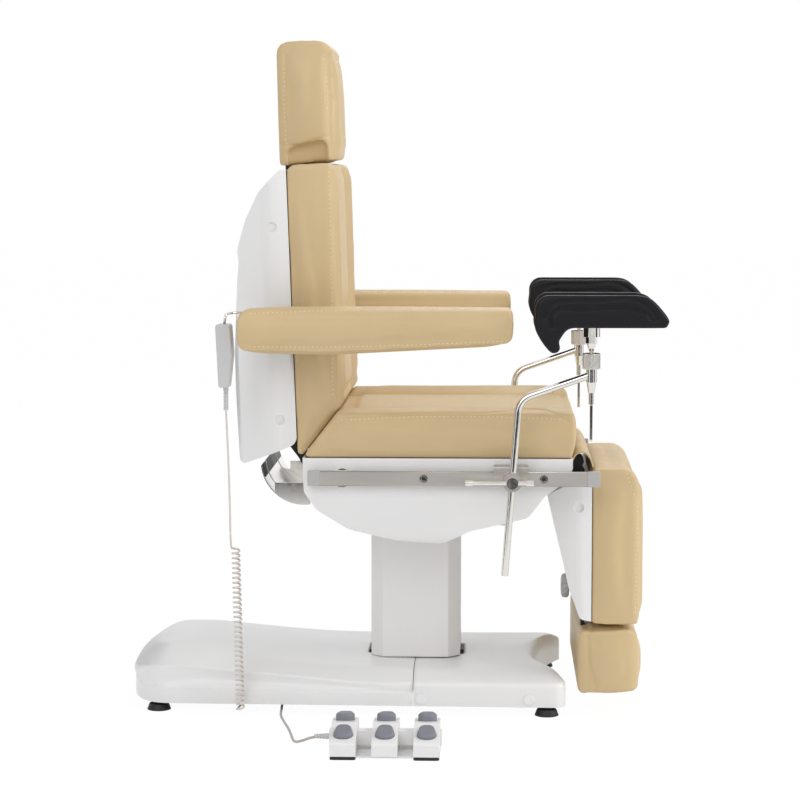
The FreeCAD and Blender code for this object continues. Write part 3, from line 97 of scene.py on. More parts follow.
# Light: each lamp's place, target, size and power, and each dark card's place and size
AMBIENT = 0.605
FLOOR_SIZE = 60.0
FLOOR_DROP = 0.0005
FLOOR_WHITE = 0.96
FLOOR_GLOW = 0.96
FLOOR_STRENGTH = 1.012
LAMPS = {
    "key": ((-1.2, -3.6, 2.9), (0, 0, 0.6), (2.4, 2.4), 36.0),
    "right": ((4.5, -1.0, 3.0), (0, 0, 0.7), (3.0, 2.5), 118.0),
    "rim": ((0.6, 2.6, 3.2), (0, 0, 0.8), (2.0, 1.5), 22.0),
}
DARK_CARDS = {
    "left_flag": ((-3.2, -1.4, 1.0), (1.8, 4.0)),
    "right_flag": ((3.4, -1.6, 1.0), (1.5, 4.0)),
    "left_rear_flag": ((-2.2, 2.6, 1.0), (1.8, 4.0)),
    "right_rear_flag": ((2.4, 2.6, 1.0), (1.8, 4.0)),
    "low_flag": ((0.3, -3.4, 0.15), (5.0, 0.7)),
    "high_flag": ((0.3, -2.2, 3.2), (5.0, 0.8)),
}
CARD_TARGET = Vector((0, 0, 0.6))
CARD_DARK = 0.02

# Joints
BACK_PIVOT = Vector((-0.217, 0.0, 0.492))
BACK_LEAN = math.radians(2.1)

# Cords
CORD_THICK = 0.004
PEDAL_CORD_THICK = 0.005
COIL_FOOT = Vector((-0.338, -0.266, 0.012))
COIL_HEAD = Vector((-0.342, -0.300, 0.335))
COIL_RADIUS = 0.007
COIL_TURNS = 33
COIL_STEPS = 12
GLAND_Y = -0.140
CORD_FLOOR = 0.0065
SLACK_ASIDE = 0.003
SLACK_SAG = 0.001
LEAD_TURN = 0.026
LEAD_BEND = (-0.350, -0.330, 0.470)
LEAD_TOP = (-0.356, -0.330, 0.606)
PEDAL_ROUTE = [(-0.1435, -0.567, 0.028), (-0.1715, -0.567, 0.028), (-0.198, -0.560, 0.016),
               (-0.213, -0.522, 0.006), (-0.222, -0.460, 0.003), (-0.232, -0.400, 0.003),
               (-0.246, -0.340, 0.0032), (-0.258, -0.285, 0.004), (-0.260, -0.232, 0.0046),
               (-0.263, -0.186, 0.0056), (-0.262, GLAND_Y, CORD_FLOOR)]

# Base covers: stations run along the rear one's outline from the joint to the middle of its nose
JOINT_GAP = 0.0007
COVER_WALL = 0.004
COVER_BOTTOM = 0.018
COVER_HALF_REAR = 0.243
COVER_TAPER = 0.0224
COVER_CORNER_X = -0.548
NOSE_START = -0.470
NOSE_LENGTH = 0.100
NOSE_POWER = 2.7
SPINE_END = -0.480
RIM_STEP_IN = 0.003
RIM_STEP_UP = 0.0015
SHOULDER_IN = 0.005
REAR_CURVES = (0.002, 0.003, 0.012, 0.005, 0.018)
FRONT_CURVES = (0.010, 0.030)
CURVE_STEPS = 7
CURVE_LIMIT = 0.48
SPINE_STEPS = 12
SPINE_POWER = 1.6
RIM_STATIONS = (0.0, 0.36, 0.43, 0.50, 0.58, 0.65, 0.72)
RIM_HEIGHTS = (0.044, 0.044, 0.0445, 0.049, 0.056, 0.062, 0.066)
SHOULDER_STATIONS = (0.0, 0.09, 0.21, 0.35, 0.43, 0.48, 0.54, 0.62, 0.72)
SHOULDER_HEIGHTS = (0.064, 0.063, 0.072, 0.084, 0.091, 0.090, 0.083, 0.080, 0.084)
DECK_STATIONS = (0.0, 0.20, 0.32, 0.40, 0.47, 0.55, 0.62, 0.72)
DECK_SHARES = (0.200, 0.270, 0.387, 0.447, 0.490, 0.470, 0.450, 0.450)
DECK_HEIGHTS = (0.0825, 0.0895, 0.106, 0.117, 0.1185, 0.1135, 0.1105, 0.111)
CREST_STATIONS = (-0.50, -0.46, -0.396, -0.287, -0.106, 0.0)
CREST_HEIGHTS = (0.1215, 0.122, 0.1185, 0.104, 0.0862, 0.084)
SCOOP_STATIONS = (0.0, 0.03, 0.16, 0.30, 0.42, 0.46, 0.49, 0.72)
SCOOP_DEPTHS = (0.0, 0.0, 0.010, 0.017, 0.017, 0.008, 0.0, 0.0)
COLUMN_SLOT = (0.0965, 0.055)
SLOT_CUT_HEIGHTS = (0.06, 0.12)
SLOT_PAST_JOINT = 0.02
INLET_LOW = (-0.60, -0.027, 0.031)
INLET_HIGH = (-0.53, 0.027, 0.061)
FRONT_END = 0.299
FRONT_CORNER = 0.024
FRONT_WALL_TOP = SHOULDER_HEIGHTS[0]
FRONT_SPINE_END = 0.180
FRONT_EDGE_SHARE = 0.20
FRONT_DECK = CREST_HEIGHTS[-1]
BAY_BACK = 0.244
SLEEVE_DROP = 0.0045
SLEEVE_FOOT = 0.004

# Sewing: lines as X and Z, seen from the side
STITCH_LENGTH = 0.0055
STITCH_THICK = 0.0014
STITCH_PITCH = 0.0085
HEAD_STITCH_REAR = [(-0.256, 1.289), (-0.257, 1.163), (-0.254, 1.116)]
HEAD_STITCH_FRONT = [(-0.178, 1.290), (-0.173, 1.221), (-0.171, 1.134)]
HEAD_SEAM = [(-0.168, 1.305), (-0.165, 1.222), (-0.162, 1.124), (-0.160, 1.090)]
HEAD_HEM = [(-0.264, 1.114), (-0.243, 1.113), (-0.171, 1.131)]
BACK_SEAM = [(-0.157, 1.070), (-0.153, 0.950), (-0.152, 0.815), (-0.151, 0.718), (-0.148, 0.625)]
BACK_STITCH = [(-0.163, 1.060), (-0.159, 0.950), (-0.158, 0.815), (-0.157, 0.718), (-0.155, 0.632)]
BACK_FOOT_SEAM = [(-0.153, 0.596), (-0.181, 0.562), (-0.212, 0.524)]
SEAT_SEAM = [(-0.136, 0.590), (-0.024, 0.596), (0.130, 0.598), (0.283, 0.593), (0.304, 0.580)]
LEG_STITCH = [(0.415, 0.477), (0.433, 0.427), (0.436, 0.309), (0.434, 0.205)]
FOOT_EDGE = [(0.341, 0.155), (0.346, 0.100), (0.358, 0.056)]
ARM_STITCH_TOP = [(-0.304, 0.795), (-0.153, 0.800), (0.017, 0.804), (0.178, 0.807)]
ARM_STITCH_LOW = [(-0.304, 0.732), (-0.153, 0.732), (0.017, 0.737), (0.179, 0.744)]
ARM_MIDDLE = 0.345
BACK_CHANNEL = 0.155
BACK_CHANNEL_LINE = [(0.0, 0.60), (0.0, 0.70), (0.0, 0.80), (0.0, 1.075)]
SEAT_CHANNEL = 0.181
SEAT_CHANNEL_LINE = [(-0.15, 0.0), (0.10, 0.0), (0.31, 0.0)]
SEAT_STITCH_DROP = 0.006
LEG_CHANNEL = 0.140
LEG_CHANNEL_LINE = [(0.0, 0.185), (0.0, 0.33), (0.0, 0.475)]
OVAL_HALF = 0.040
OVAL_MIDDLE = 1.200
OVAL_RISE = 0.078

# Boards that the cushions sit on, the seam between the seat and the back, and the seat's side rolls
SEAT_BOARD = 0.510
BACK_BOARD = -0.0075
HEAD_SETBACK = 0.005
LEG_BOARD = 0.348
FOOT_BOARD = 0.339
SEAM_CLOSING = 0.0025
SEAT_REAR_FOOT = (-0.213, 0.0, SEAT_BOARD)
SEAT_REAR_WAY = (-0.791, 0.0, 0.612)
BACK_LOW_FOOT = (-0.216, 0.0, 0.514)
SEAT_EDGE_HEIGHT = 0.596
ROLL_SINK = 0.28

# Headrest's front outline, as heights and X at the middle
HEAD_MIDDLE = -0.215
HEAD_FRONT_HEIGHTS = (1.215, 1.235, 1.256, 1.279, 1.300, 1.312, 1.318)
HEAD_FRONTS = (-0.150, -0.152, -0.155, -0.160, -0.164, -0.170, -0.178)

# Leg holder pads: creases as X and Z, and the knurled collars below them
STIRRUP_Y = 0.345
TROUGH_VOXEL = 0.003
CREASE_DEPTH = 0.0034
CREASE_WIDTH = 0.0034
STIRRUP_CREASES = (
    [(0.250, 0.790), (0.257, 0.806), (0.271, 0.818), (0.293, 0.822), (0.353, 0.823), (0.425, 0.823),
     (0.446, 0.809), (0.462, 0.788)],
    [(0.264, 0.772), (0.262, 0.790), (0.273, 0.803), (0.324, 0.806), (0.419, 0.806), (0.439, 0.799),
     (0.453, 0.784)],
)
STIRRUP_BULGES = (((0.426, 0.833), (0.483, 0.779)), ((0.262, 0.727), (0.232, 0.793)))
BULGE_RISE = 0.0045
BULGE_REACH = 0.024
COLLAR_PLACE = (0.341, STIRRUP_Y, 0.689)
COLLAR_RADIUS = 0.0170
COLLAR_HEIGHT = 0.030
COLLAR_BEVEL = 0.001
COLLAR_BORE = 0.010
COLLAR_MOUTH = 0.0145
COLLAR_ROWS = 12
KNURLS = 44
KNURL_DEPTH = 0.018

# Small details
# Painted shade inside the hinge cover starts above this height
HINGE_SHADE_ABOVE = 0.462
BACK_HOLES = ((-0.273, 0.955), (-0.259, 0.581))
BACK_HOLE_Y = 0.256
LEG_HOLE = (0.323, 0.410)
LEG_HOLE_Y = 0.242
HOLE_RADIUS = 0.0095
HOLE_DEPTH = 0.006
HOLE_FLOOR = 0.0015
HOLE_DRILL = 0.02
HOLE_SEGMENTS = 48
RAIL_BOLTS = (0.022, 0.253)
RAIL_MIDDLE = 0.473
# Each screw socket is a thin dark hexagon: painted shade, not a hole
SOCKET_RADIUS = 0.0042
SOCKET_SINK = 0.0002
SOCKET_DEPTH = 0.0006
KNOB_PROFILE = ((0.0, 0.55), (0.0008, 0.75), (0.0035, 0.92), (0.006, 0.965), (0.012, 0.965),
                (0.0145, 0.92), (0.0165, 0.8), (0.017, 0.6))
KNOB_SHAFT = 0.005
KNOB_RIBS = 22
KNOB_RIB_DEPTH = 0.03
RELIEF_RADIUS = 0.0056
RELIEF_TAPER = 0.002
RELIEF_RIB = 0.0006
RELIEF_RIBS = 5
RELIEF_STEPS = 24
RELIEF_ENDS = (0.003, 0.0027)
SMOOTH_BELOW = math.radians(40)

# Padding, grooves and the strip at the knees
GROOVE_REACH = 2.6
SEWN_SHARE = 0.45
PAD_DRAW_IN = 0.3
PAD_SLIP = 0.4
RAY_START = 2.0
CHANNEL_DEPTH = 0.006
CHANNEL_WIDTH = 0.010
KNEE_HALF = 0.235
KNEE_THICK = 0.003
KNEE_WAVE = 0.0012
KNEE_RIPPLES = (46.0, 87.0)
KNEE_LINE = [(0.308, 0.502), (0.317, 0.516), (0.332, 0.520), (0.346, 0.507), (0.352, 0.489)]

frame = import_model()
shells = {}
nodes = frame["nodes"]
SIDES = (("left_", 1.0), ("right_", -1.0))


# Selection and mesh helpers

def only(obj):
    """Select one object and nothing else."""
    bpy.ops.object.select_all(action="DESELECT")
    obj.select_set(True)
    bpy.context.view_layer.objects.active = obj


def new_object(name, mesh):
    obj = bpy.data.objects.new(name, mesh)
    bpy.context.scene.collection.objects.link(obj)
    return obj


def apply_modifiers(obj):
    only(obj)
    for modifier in list(obj.modifiers):
        bpy.ops.object.modifier_apply(modifier=modifier.name)


def points_of(obj):
    flat = np.empty(len(obj.data.vertices) * 3)
    obj.data.vertices.foreach_get("co", flat)
    return flat.reshape(-1, 3)


def normals_of(obj):
    flat = np.empty(len(obj.data.vertices) * 3)
    obj.data.vertices.foreach_get("normal", flat)
    return flat.reshape(-1, 3)


def set_points(obj, points):
    obj.data.vertices.foreach_set("co", points.ravel())
    obj.data.update()


def merged_copy(node, name):
    """A new piece from a node's mesh, with its loose triangles joined."""
    mesh = nodes[node].data.copy()
    mesh.materials.clear()
    obj = new_object(name, mesh)
    only(obj)
    bpy.ops.object.mode_set(mode="EDIT")
    bpy.ops.mesh.select_all(action="SELECT")
    bpy.ops.mesh.remove_doubles(threshold=1e-5)
    bpy.ops.object.mode_set(mode="OBJECT")
    return obj


def smooth_line(at, stations, values):
    """Values between stations, on a smooth curve through the given ones."""
    stations, values = np.asarray(stations, float), np.asarray(values, float)
    slopes = np.gradient(values, stations)
    k = np.clip(np.searchsorted(stations, at) - 1, 0, len(stations) - 2)
    step = stations[k + 1] - stations[k]
    t = np.clip((at - stations[k]) / step, 0.0, 1.0)
    start = values[k] * (1 + 2 * t) * (1 - t) ** 2 + slopes[k] * step * t * (1 - t) ** 2
    return start + values[k + 1] * t ** 2 * (3 - 2 * t) + slopes[k + 1] * step * t ** 2 * (t - 1)


def even_points(corners, step):
    """Points a step apart along a smooth line through a few corners."""
    corners = np.asarray(corners, float)
    runs = np.concatenate(([0.0], np.cumsum(np.linalg.norm(np.diff(corners, axis=0), axis=1))))
    at = np.linspace(0.0, runs[-1], max(2, int(round(runs[-1] / step)) + 1))
    return np.stack([smooth_line(at, runs, corners[:, k]) for k in range(3)], axis=1)


def even_shading(obj):
    """Smooth shading that keeps large faces flat."""
    only(obj)
    bpy.ops.object.shade_smooth()
    normals = obj.modifiers.new("Even", "WEIGHTED_NORMAL")
    normals.weight = 80
    apply_modifiers(obj)


def finished(node, material, edge=0.0, steps=2, angle=32.0):
    """A node's copy with its flat faces joined, its edges rounded and smooth shading."""
    obj = merged_copy(node, "finished_" + node)
    bpy.ops.object.mode_set(mode="EDIT")
    bpy.ops.mesh.select_all(action="SELECT")
    bpy.ops.mesh.dissolve_limited(angle_limit=math.radians(0.4))
    bpy.ops.object.mode_set(mode="OBJECT")
    if edge:
        bevel = obj.modifiers.new("Edges", "BEVEL")
        bevel.width = edge
        bevel.segments = steps
        bevel.limit_method = "ANGLE"
        bevel.angle_limit = math.radians(angle)
        apply_modifiers(obj)
    even_shading(obj)
    dress(obj, node, material)
    return obj


def dress(obj, node, material):
    """Let a new piece stand for a node: its finish and its body."""
    obj.data.materials.clear()
    obj.data.materials.append(material)
    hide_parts(node)
    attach(obj, body_of(nodes[node])[0])


def cut_away(obj, cutter):
    """Take one shape away from a piece."""
    modifier = obj.modifiers.new("Cut", "BOOLEAN")
    modifier.operation = "DIFFERENCE"
    modifier.solver = "EXACT"
    modifier.object = cutter
    apply_modifiers(obj)
    bpy.data.objects.remove(cutter)


def block(low, high):
    """A plain box between two corners, to cut with."""
    bpy.ops.object.select_all(action="DESELECT")
    middle = [(a + b) / 2 for a, b in zip(low, high)]
    size = [b - a for a, b in zip(low, high)]
    bpy.ops.mesh.primitive_cube_add(size=1, location=middle, scale=size)
    return bpy.context.view_layer.objects.active


# Materials

def new_material(name):
    """A material, its node tree, its shader and the object coordinates."""
    material = bpy.data.materials.new(name)
    material.use_nodes = True
    tree = material.node_tree
    shader = tree.nodes["Principled BSDF"]
    place = tree.nodes.new("ShaderNodeTexCoord").outputs["Object"]
    return material, tree, shader, place


def noise(tree, place, scale, detail=2.0, stretch=None):
    if stretch:
        mapping = tree.nodes.new("ShaderNodeMapping")
        mapping.inputs["Scale"].default_value = stretch
        tree.links.new(place, mapping.inputs["Vector"])
        place = mapping.outputs["Vector"]
    texture = tree.nodes.new("ShaderNodeTexNoise")
    texture.inputs["Scale"].default_value = scale
    texture.inputs["Detail"].default_value = detail
    tree.links.new(place, texture.inputs["Vector"])
    return texture.outputs["Fac"]


def cells(tree, place, scale):
    texture = tree.nodes.new("ShaderNodeTexVoronoi")
    texture.feature = "F1"
    texture.inputs["Scale"].default_value = scale
    tree.links.new(place, texture.inputs["Vector"])
    return texture.outputs["Distance"]


def spread(tree, value, low, high, out_low, out_high):
    """Map a value's range onto another one."""
    node = tree.nodes.new("ShaderNodeMapRange")
    node.inputs["From Min"].default_value = low
    node.inputs["From Max"].default_value = high
    node.inputs["To Min"].default_value = out_low
    node.inputs["To Max"].default_value = out_high
    tree.links.new(value, node.inputs["Value"])
    return node.outputs["Result"]


def tint(tree, value, dark, light):
    """A colour between two, by a value from 0.3 to 0.7."""
    ramp = tree.nodes.new("ShaderNodeValToRGB")
    ramp.color_ramp.elements[0].position = 0.3
    ramp.color_ramp.elements[0].color = (*dark, 1)
    ramp.color_ramp.elements[1].position = 0.7
    ramp.color_ramp.elements[1].color = (*light, 1)
    tree.links.new(value, ramp.inputs["Fac"])
    return ramp.outputs["Color"]


def relief(tree, shader, height, strength, distance, after=None):
    node = tree.nodes.new("ShaderNodeBump")
    node.inputs["Strength"].default_value = strength
    node.inputs["Distance"].default_value = distance
    tree.links.new(height, node.inputs["Height"])
    if after:
        tree.links.new(after, node.inputs["Normal"])
    tree.links.new(node.outputs["Normal"], shader.inputs["Normal"])
    return node.outputs["Normal"]


def shade(colour, by):
    return tuple(channel * by for channel in colour)


def leather(name, colour, rough=0.46, gloss=0.42):
    """Coated upholstery: fine grain, soft creasing, faint colour drift."""
    material, tree, shader, place = new_material(name)
    drift = noise(tree, place, 7.0, 3.0)
    colours = tint(tree, drift, shade(colour, 0.965), shade(colour, 1.03))
    tree.links.new(colours, shader.inputs["Base Color"])
    tree.links.new(spread(tree, noise(tree, place, 60.0), 0.3, 0.7, rough - 0.05, rough + 0.06),
                   shader.inputs["Roughness"])
    creasing = relief(tree, shader, noise(tree, place, 55.0, 4.0), 0.10, 0.0016)
    relief(tree, shader, cells(tree, place, 620.0), 0.14, 0.0003, creasing)
    shader.inputs["Specular IOR Level"].default_value = gloss
    return material


def moulded(name, colour, rough, grain=0.05, grain_scale=240.0):
    """Moulded plastic or paint: a slight drift in gloss, and a fine grain where asked."""
    material, tree, shader, place = new_material(name)
    drift = noise(tree, place, 4.0, 2.0)
    colours = tint(tree, drift, shade(colour, 0.985), shade(colour, 1.01))
    tree.links.new(colours, shader.inputs["Base Color"])
    tree.links.new(spread(tree, noise(tree, place, 22.0), 0.3, 0.7, rough - 0.03, rough + 0.04),
                   shader.inputs["Roughness"])
    if grain:
        relief(tree, shader, noise(tree, place, grain_scale, 2.0), grain, 0.0004)
    return material


def polished(name, colour, rough):
    """Chromed metal with hair-fine wiping marks."""
    material, tree, shader, place = new_material(name)
    shader.inputs["Metallic"].default_value = 1.0
    marks = noise(tree, place, 90.0, 3.0)
    tree.links.new(tint(tree, marks, shade(colour, 0.96), colour), shader.inputs["Base Color"])
    tree.links.new(spread(tree, marks, 0.3, 0.7, rough, rough + 0.06), shader.inputs["Roughness"])
    relief(tree, shader, noise(tree, place, 500.0), 0.02, 0.0002)
    return material


def brushed(name, colour, rough, stretch):
    """Metal with brush marks that run one way."""
    material, tree, shader, place = new_material(name)
    shader.inputs["Metallic"].default_value = 1.0
    lines = noise(tree, place, 1.0, 4.0, stretch)
    broad = noise(tree, place, 5.0, 2.0)
    colours = tint(tree, broad, shade(colour, 0.92), shade(colour, 1.05))
    tree.links.new(colours, shader.inputs["Base Color"])
    tree.links.new(spread(tree, lines, 0.3, 0.7, rough - 0.07, rough + 0.1), shader.inputs["Roughness"])
    relief(tree, shader, lines, 0.06, 0.0003)
    return material


BEIGE = (0.628, 0.474, 0.262)
THREAD = (0.84, 0.73, 0.54)
WHITE = (0.86, 0.855, 0.855)
upholstery = leather("beige_upholstery", BEIGE)
thread = moulded("pale_thread", THREAD, 0.7, 0.3, 900.0)
white_cover = moulded("white_cover", WHITE, 0.32, 0.0)
white_paint = moulded("white_paint", (0.86, 0.845, 0.835), 0.34, 0.0)
# Black paint on the frames and arm hubs; also used as painted shade inside the hinge cover and in the screw
# sockets
dark_paint_and_shade = moulded("dark_paint_and_shade", (0.012, 0.012, 0.013), 0.4)
rubber = moulded("black_rubber", (0.010, 0.010, 0.011), 0.55, 0.12, 500.0)
stirrup_skin = leather("black_stirrup_skin", (0.0085, 0.0085, 0.0110), 0.44, 0.22)
chrome = polished("chrome", (0.80, 0.775, 0.74), 0.08)
rail_steel = brushed("rail_steel", (0.57, 0.535, 0.50), 0.36, (6.0, 900.0, 900.0))
collar_steel = brushed("collar_steel", (0.74, 0.71, 0.67), 0.34, (600.0, 600.0, 40.0))
button_grey = moulded("button_grey", (0.225, 0.232, 0.268), 0.5, 0.3, 420.0)
knob_grey = moulded("knob_grey", (0.56, 0.56, 0.565), 0.5, 0.2, 500.0)
pale_grey = moulded("pale_grey", (0.60, 0.60, 0.605), 0.36, 0.0)
cap_grey = moulded("cap_grey", (0.46, 0.455, 0.45), 0.4, 0.0)
cord_skin = moulded("cord_skin", (0.72, 0.66, 0.62), 0.42, 0.1, 700.0)
grey_cord = moulded("grey_cord", (0.52, 0.48, 0.45), 0.45, 0.1, 700.0)

NODE_MATERIALS = {
    dark_paint_and_shade: ["base_frame", "lift_actuator", "seat_frame", "drive_motors", "back_frame", "leg_frame",
                 "headrest_plate", "foot_slide", "left_arm_hub", "right_arm_hub"],
    chrome: ["lift_rod"],
    rubber: ["pedal_mat", "mains_inlet"],
}


def paint_nodes():
    """Finishes for the nodes that show as they are."""
    for material, names in NODE_MATERIALS.items():
        for name in names:
            slots = nodes[name].data.materials
            slots.clear()
            slots.append(material)


# Cords

def nurbs_curve(name, points):
    """A smooth open line with these control points."""
    curve = bpy.data.curves.new(name, "CURVE")
    curve.dimensions = "3D"
    curve.resolution_u = 6
    spline = curve.splines.new("NURBS")
    spline.points.add(len(points) - 1)
    for control, point in zip(spline.points, points):
        control.co = (*point, 1.0)
    spline.order_u = 3
    spline.use_endpoint_u = True
    return new_object(name, curve)


def line_points(obj):
    """The points that a curve with no thickness runs through."""
    graph = bpy.context.evaluated_depsgraph_get()
    mesh = bpy.data.meshes.new_from_object(obj.evaluated_get(graph))
    found = [tuple(vertex.co) for vertex in mesh.vertices]
    bpy.data.meshes.remove(mesh)
    return found


def cord_tube(name, points, thick, material):
    """A cord's mesh along its smooth line, and that line."""
    obj = nurbs_curve(name, points)
    line = line_points(obj)
    obj.data.bevel_depth = thick / 2
    obj.data.bevel_resolution = 3
    obj.data.use_fill_caps = True
    only(obj)
    bpy.ops.object.convert(target="MESH")
    bpy.ops.object.shade_smooth()
    obj = bpy.context.view_layer.objects.active
    obj.data.materials.append(material)
    return obj, line


def coil_frame():
    axis = COIL_HEAD - COIL_FOOT
    length = axis.length
    axis.normalize()
    out = (Vector((1, 0, 0)) - axis * axis.x).normalized()
    return axis, out, axis.cross(out), length


def coil_point(turn, radius):
    axis, out, over, length = coil_frame()
    angle = math.pi + 2 * math.pi * turn
    around = (out * math.cos(angle) + over * math.sin(angle)) * radius
    return COIL_FOOT + axis * (length * turn / COIL_TURNS) + around


def coil_leaving(turn):
    """The coil's direction after a number of turns."""
    axis, out, over, length = coil_frame()
    angle = math.pi + 2 * math.pi * turn
    around = (over * math.cos(angle) - out * math.sin(angle)) * (2 * math.pi * COIL_RADIUS)
    return (around + axis * (length / COIL_TURNS)).normalized()


def handset_cord():
    """The curly cord from the base, and the straight lead to the hand control."""
    first = coil_point(0, COIL_RADIUS)
    along = coil_leaving(0)
    low = first - along * ((first.z - CORD_FLOOR) / along.z)
    # a smooth line of this order runs inside its control points by this share
    wide = COIL_RADIUS / (0.75 + 0.25 * math.cos(2 * math.pi / COIL_STEPS))
    helix = [coil_point(n / COIL_STEPS, wide) for n in range(COIL_TURNS * COIL_STEPS + 1)]
    last = coil_point(COIL_TURNS, COIL_RADIUS)
    onward = coil_leaving(COIL_TURNS)
    tip = last + onward * CORD_THICK
    start = (low.x, GLAND_Y, CORD_FLOOR)
    slack = (low.x + SLACK_ASIDE, (GLAND_Y + low.y) / 2, CORD_FLOOR - SLACK_SAG)
    route = [start, slack, tuple(low)] + [tuple(point) for point in helix] + [tuple(tip)]
    coil, line = cord_tube("curly_cord", route, CORD_THICK, cord_skin)
    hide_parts("handset_coil")
    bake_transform(coil, "base", "seat", start=(0, 0, 0.02), end=(0, 0, COIL_HEAD.z))
    turn = tip + onward * LEAD_TURN
    lead, line = cord_tube("handset_straight_lead", [LEAD_TOP, LEAD_BEND, tuple(turn), tuple(tip)],
                           CORD_THICK, cord_skin)
    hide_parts("handset_lead")
    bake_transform(lead, "seat", "back", start=tip, end=LEAD_TOP)


def foot_control_cord():
    cord = nurbs_curve("foot_control_cord", PEDAL_ROUTE)
    cord.data.bevel_depth = PEDAL_CORD_THICK / 2
    cord.data.bevel_resolution = 4
    cord.data.use_fill_caps = True
    cord.data.materials.append(grey_cord)
    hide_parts("pedal_cord")
    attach(cord, "base")


# Covers and other hard pieces

def rounded_rows(keys, reaches):
    """Rows across a section through its key points, with a curve at each inner one."""
    rows = [keys[0]]
    for before, here, after, reach in zip(keys, keys[1:], keys[2:], reaches):
        back, on = before - here, after - here
        start = here + back * np.minimum(reach / np.linalg.norm(back, axis=1), CURVE_LIMIT)[:, None]
        end = here + on * np.minimum(reach / np.linalg.norm(on, axis=1), CURVE_LIMIT)[:, None]
        for t in np.linspace(0.0, 1.0, CURVE_STEPS):
            rows.append(start * (1 - t) ** 2 + here * (2 * t * (1 - t)) + end * t ** 2)
    return rows


def cover_half(x):
    return COVER_HALF_REAR + COVER_TAPER * (x - COVER_CORNER_X)


def cover_outline():
    """The rear cover's right edge in plan, from the joint to the middle of the nose."""
    side = np.linspace(-JOINT_GAP, NOSE_START, 48)[:-1]
    turn = np.linspace(0.0, math.pi / 2, 48)
    nose_x = NOSE_START - NOSE_LENGTH * np.sin(turn) ** (2 / NOSE_POWER)
    x = np.concatenate((side, nose_x))
    narrow = np.concatenate((np.ones(len(side)), np.clip(np.cos(turn), 0.0, 1.0) ** (2 / NOSE_POWER)))
    return x, -cover_half(x) * narrow


def inward_of(x, y):
    """The way in from each point of an outline in plan."""
    along = np.stack((np.gradient(x), np.gradient(y)), axis=1)
    along /= np.linalg.norm(along, axis=1, keepdims=True)
    return np.stack((along[:, 1], -along[:, 0]), axis=1)


def to_spine(rows, spine):
    """More rows from the last one to the middle line, flattening as they go."""
    last = rows[-1]
    for t in np.linspace(0.0, 1.0, SPINE_STEPS)[1:]:
        level = last + (spine - last) * t
        level[:, 2] = last[:, 2] + (spine[:, 2] - last[:, 2]) * (1 - (1 - t) ** SPINE_POWER)
        rows.append(level)
    return np.array(rows)


def shell_from(name, half):
    """A mesh through rows of points for the right half, and the same on the left."""
    other = half[:, ::-1][:, 1:] * (1, -1, 1)
    return grid_piece(name, np.concatenate((half, other), axis=1))


def grid_piece(name, grid):
    """A mesh through rows of points, with points that meet joined."""
    bpy.ops.object.select_all(action="DESELECT")
    rows, columns = grid.shape[:2]
    bpy.ops.mesh.primitive_grid_add(x_subdivisions=columns - 1, y_subdivisions=rows - 1, size=1)
    obj = bpy.context.view_layer.objects.active
    obj.name = name
    set_points(obj, grid.reshape(-1, 3))
    bpy.ops.object.mode_set(mode="EDIT")
    bpy.ops.mesh.select_all(action="SELECT")
    bpy.ops.mesh.remove_doubles(threshold=1e-5)
    bpy.ops.mesh.normals_make_consistent(inside=False)
    bpy.ops.object.mode_set(mode="OBJECT")
    return obj


def thicken(obj, wall):
    modifier = obj.modifiers.new("Wall", "SOLIDIFY")
    modifier.thickness = wall
    modifier.offset = -1.0
    apply_modifiers(obj)


def cover_rows():
    """Rows of points from the cover's lower edge to its middle line, for the right half."""
    x, y = cover_outline()
    run = np.concatenate(([0.0], np.cumsum(np.hypot(np.diff(x), np.diff(y)))))
    run *= RIM_STATIONS[-1] / run[-1]
    inward = inward_of(x, y)
    inward[-1] = (1.0, 0.0)

    def row(inset, height):
        inset, height = np.broadcast_to(inset, run.shape), np.broadcast_to(height, run.shape)
        plan = np.stack((x, y), axis=1) + inward * inset[:, None]
        return np.column_stack((plan[:, 0], np.minimum(plan[:, 1], 0.0), height))

    rim = smooth_line(run, RIM_STATIONS, RIM_HEIGHTS)
    shoulder = smooth_line(run, SHOULDER_STATIONS, SHOULDER_HEIGHTS)
    scoop = smooth_line(run, SCOOP_STATIONS, SCOOP_DEPTHS)
    keys = [row(0.0, COVER_BOTTOM), row(0.0, rim),
            row(RIM_STEP_IN + 0.2 * scoop, rim + RIM_STEP_UP),
            row(RIM_STEP_IN + scoop, rim * 0.55 + shoulder * 0.45),
            row(SHOULDER_IN + 0.5 * scoop, shoulder)]
    spine_x = np.maximum(x, SPINE_END)
    crest = smooth_line(spine_x, CREST_STATIONS, CREST_HEIGHTS)
    spine = np.column_stack((spine_x, np.zeros(len(x)), crest))
    edge = keys[0] + (spine - keys[0]) * smooth_line(run, DECK_STATIONS, DECK_SHARES)[:, None]
    edge[:, 2] = smooth_line(run, DECK_STATIONS, DECK_HEIGHTS)
    keys.append(edge)
    return to_spine(rounded_rows(keys + [spine], REAR_CURVES), spine)


def cut_column_slot(obj, start, end):
    """Cut a cover's half of the opening round the column."""
    across = COLUMN_SLOT[1]
    low, high = SLOT_CUT_HEIGHTS
    cut_away(obj, block((start, -across, low), (end, across, high)))


def rear_cover():
    """The base's rear cover: an upright rim, a scooped side, a swept shoulder and a low hump."""
    obj = shell_from("rear_base_cover", cover_rows())
    thicken(obj, COVER_WALL)
    cut_column_slot(obj, -COLUMN_SLOT[0], SLOT_PAST_JOINT)
    cut_away(obj, block(INLET_LOW, INLET_HIGH))
    even_shading(obj)
    dress(obj, "base_cover_rear", white_cover)


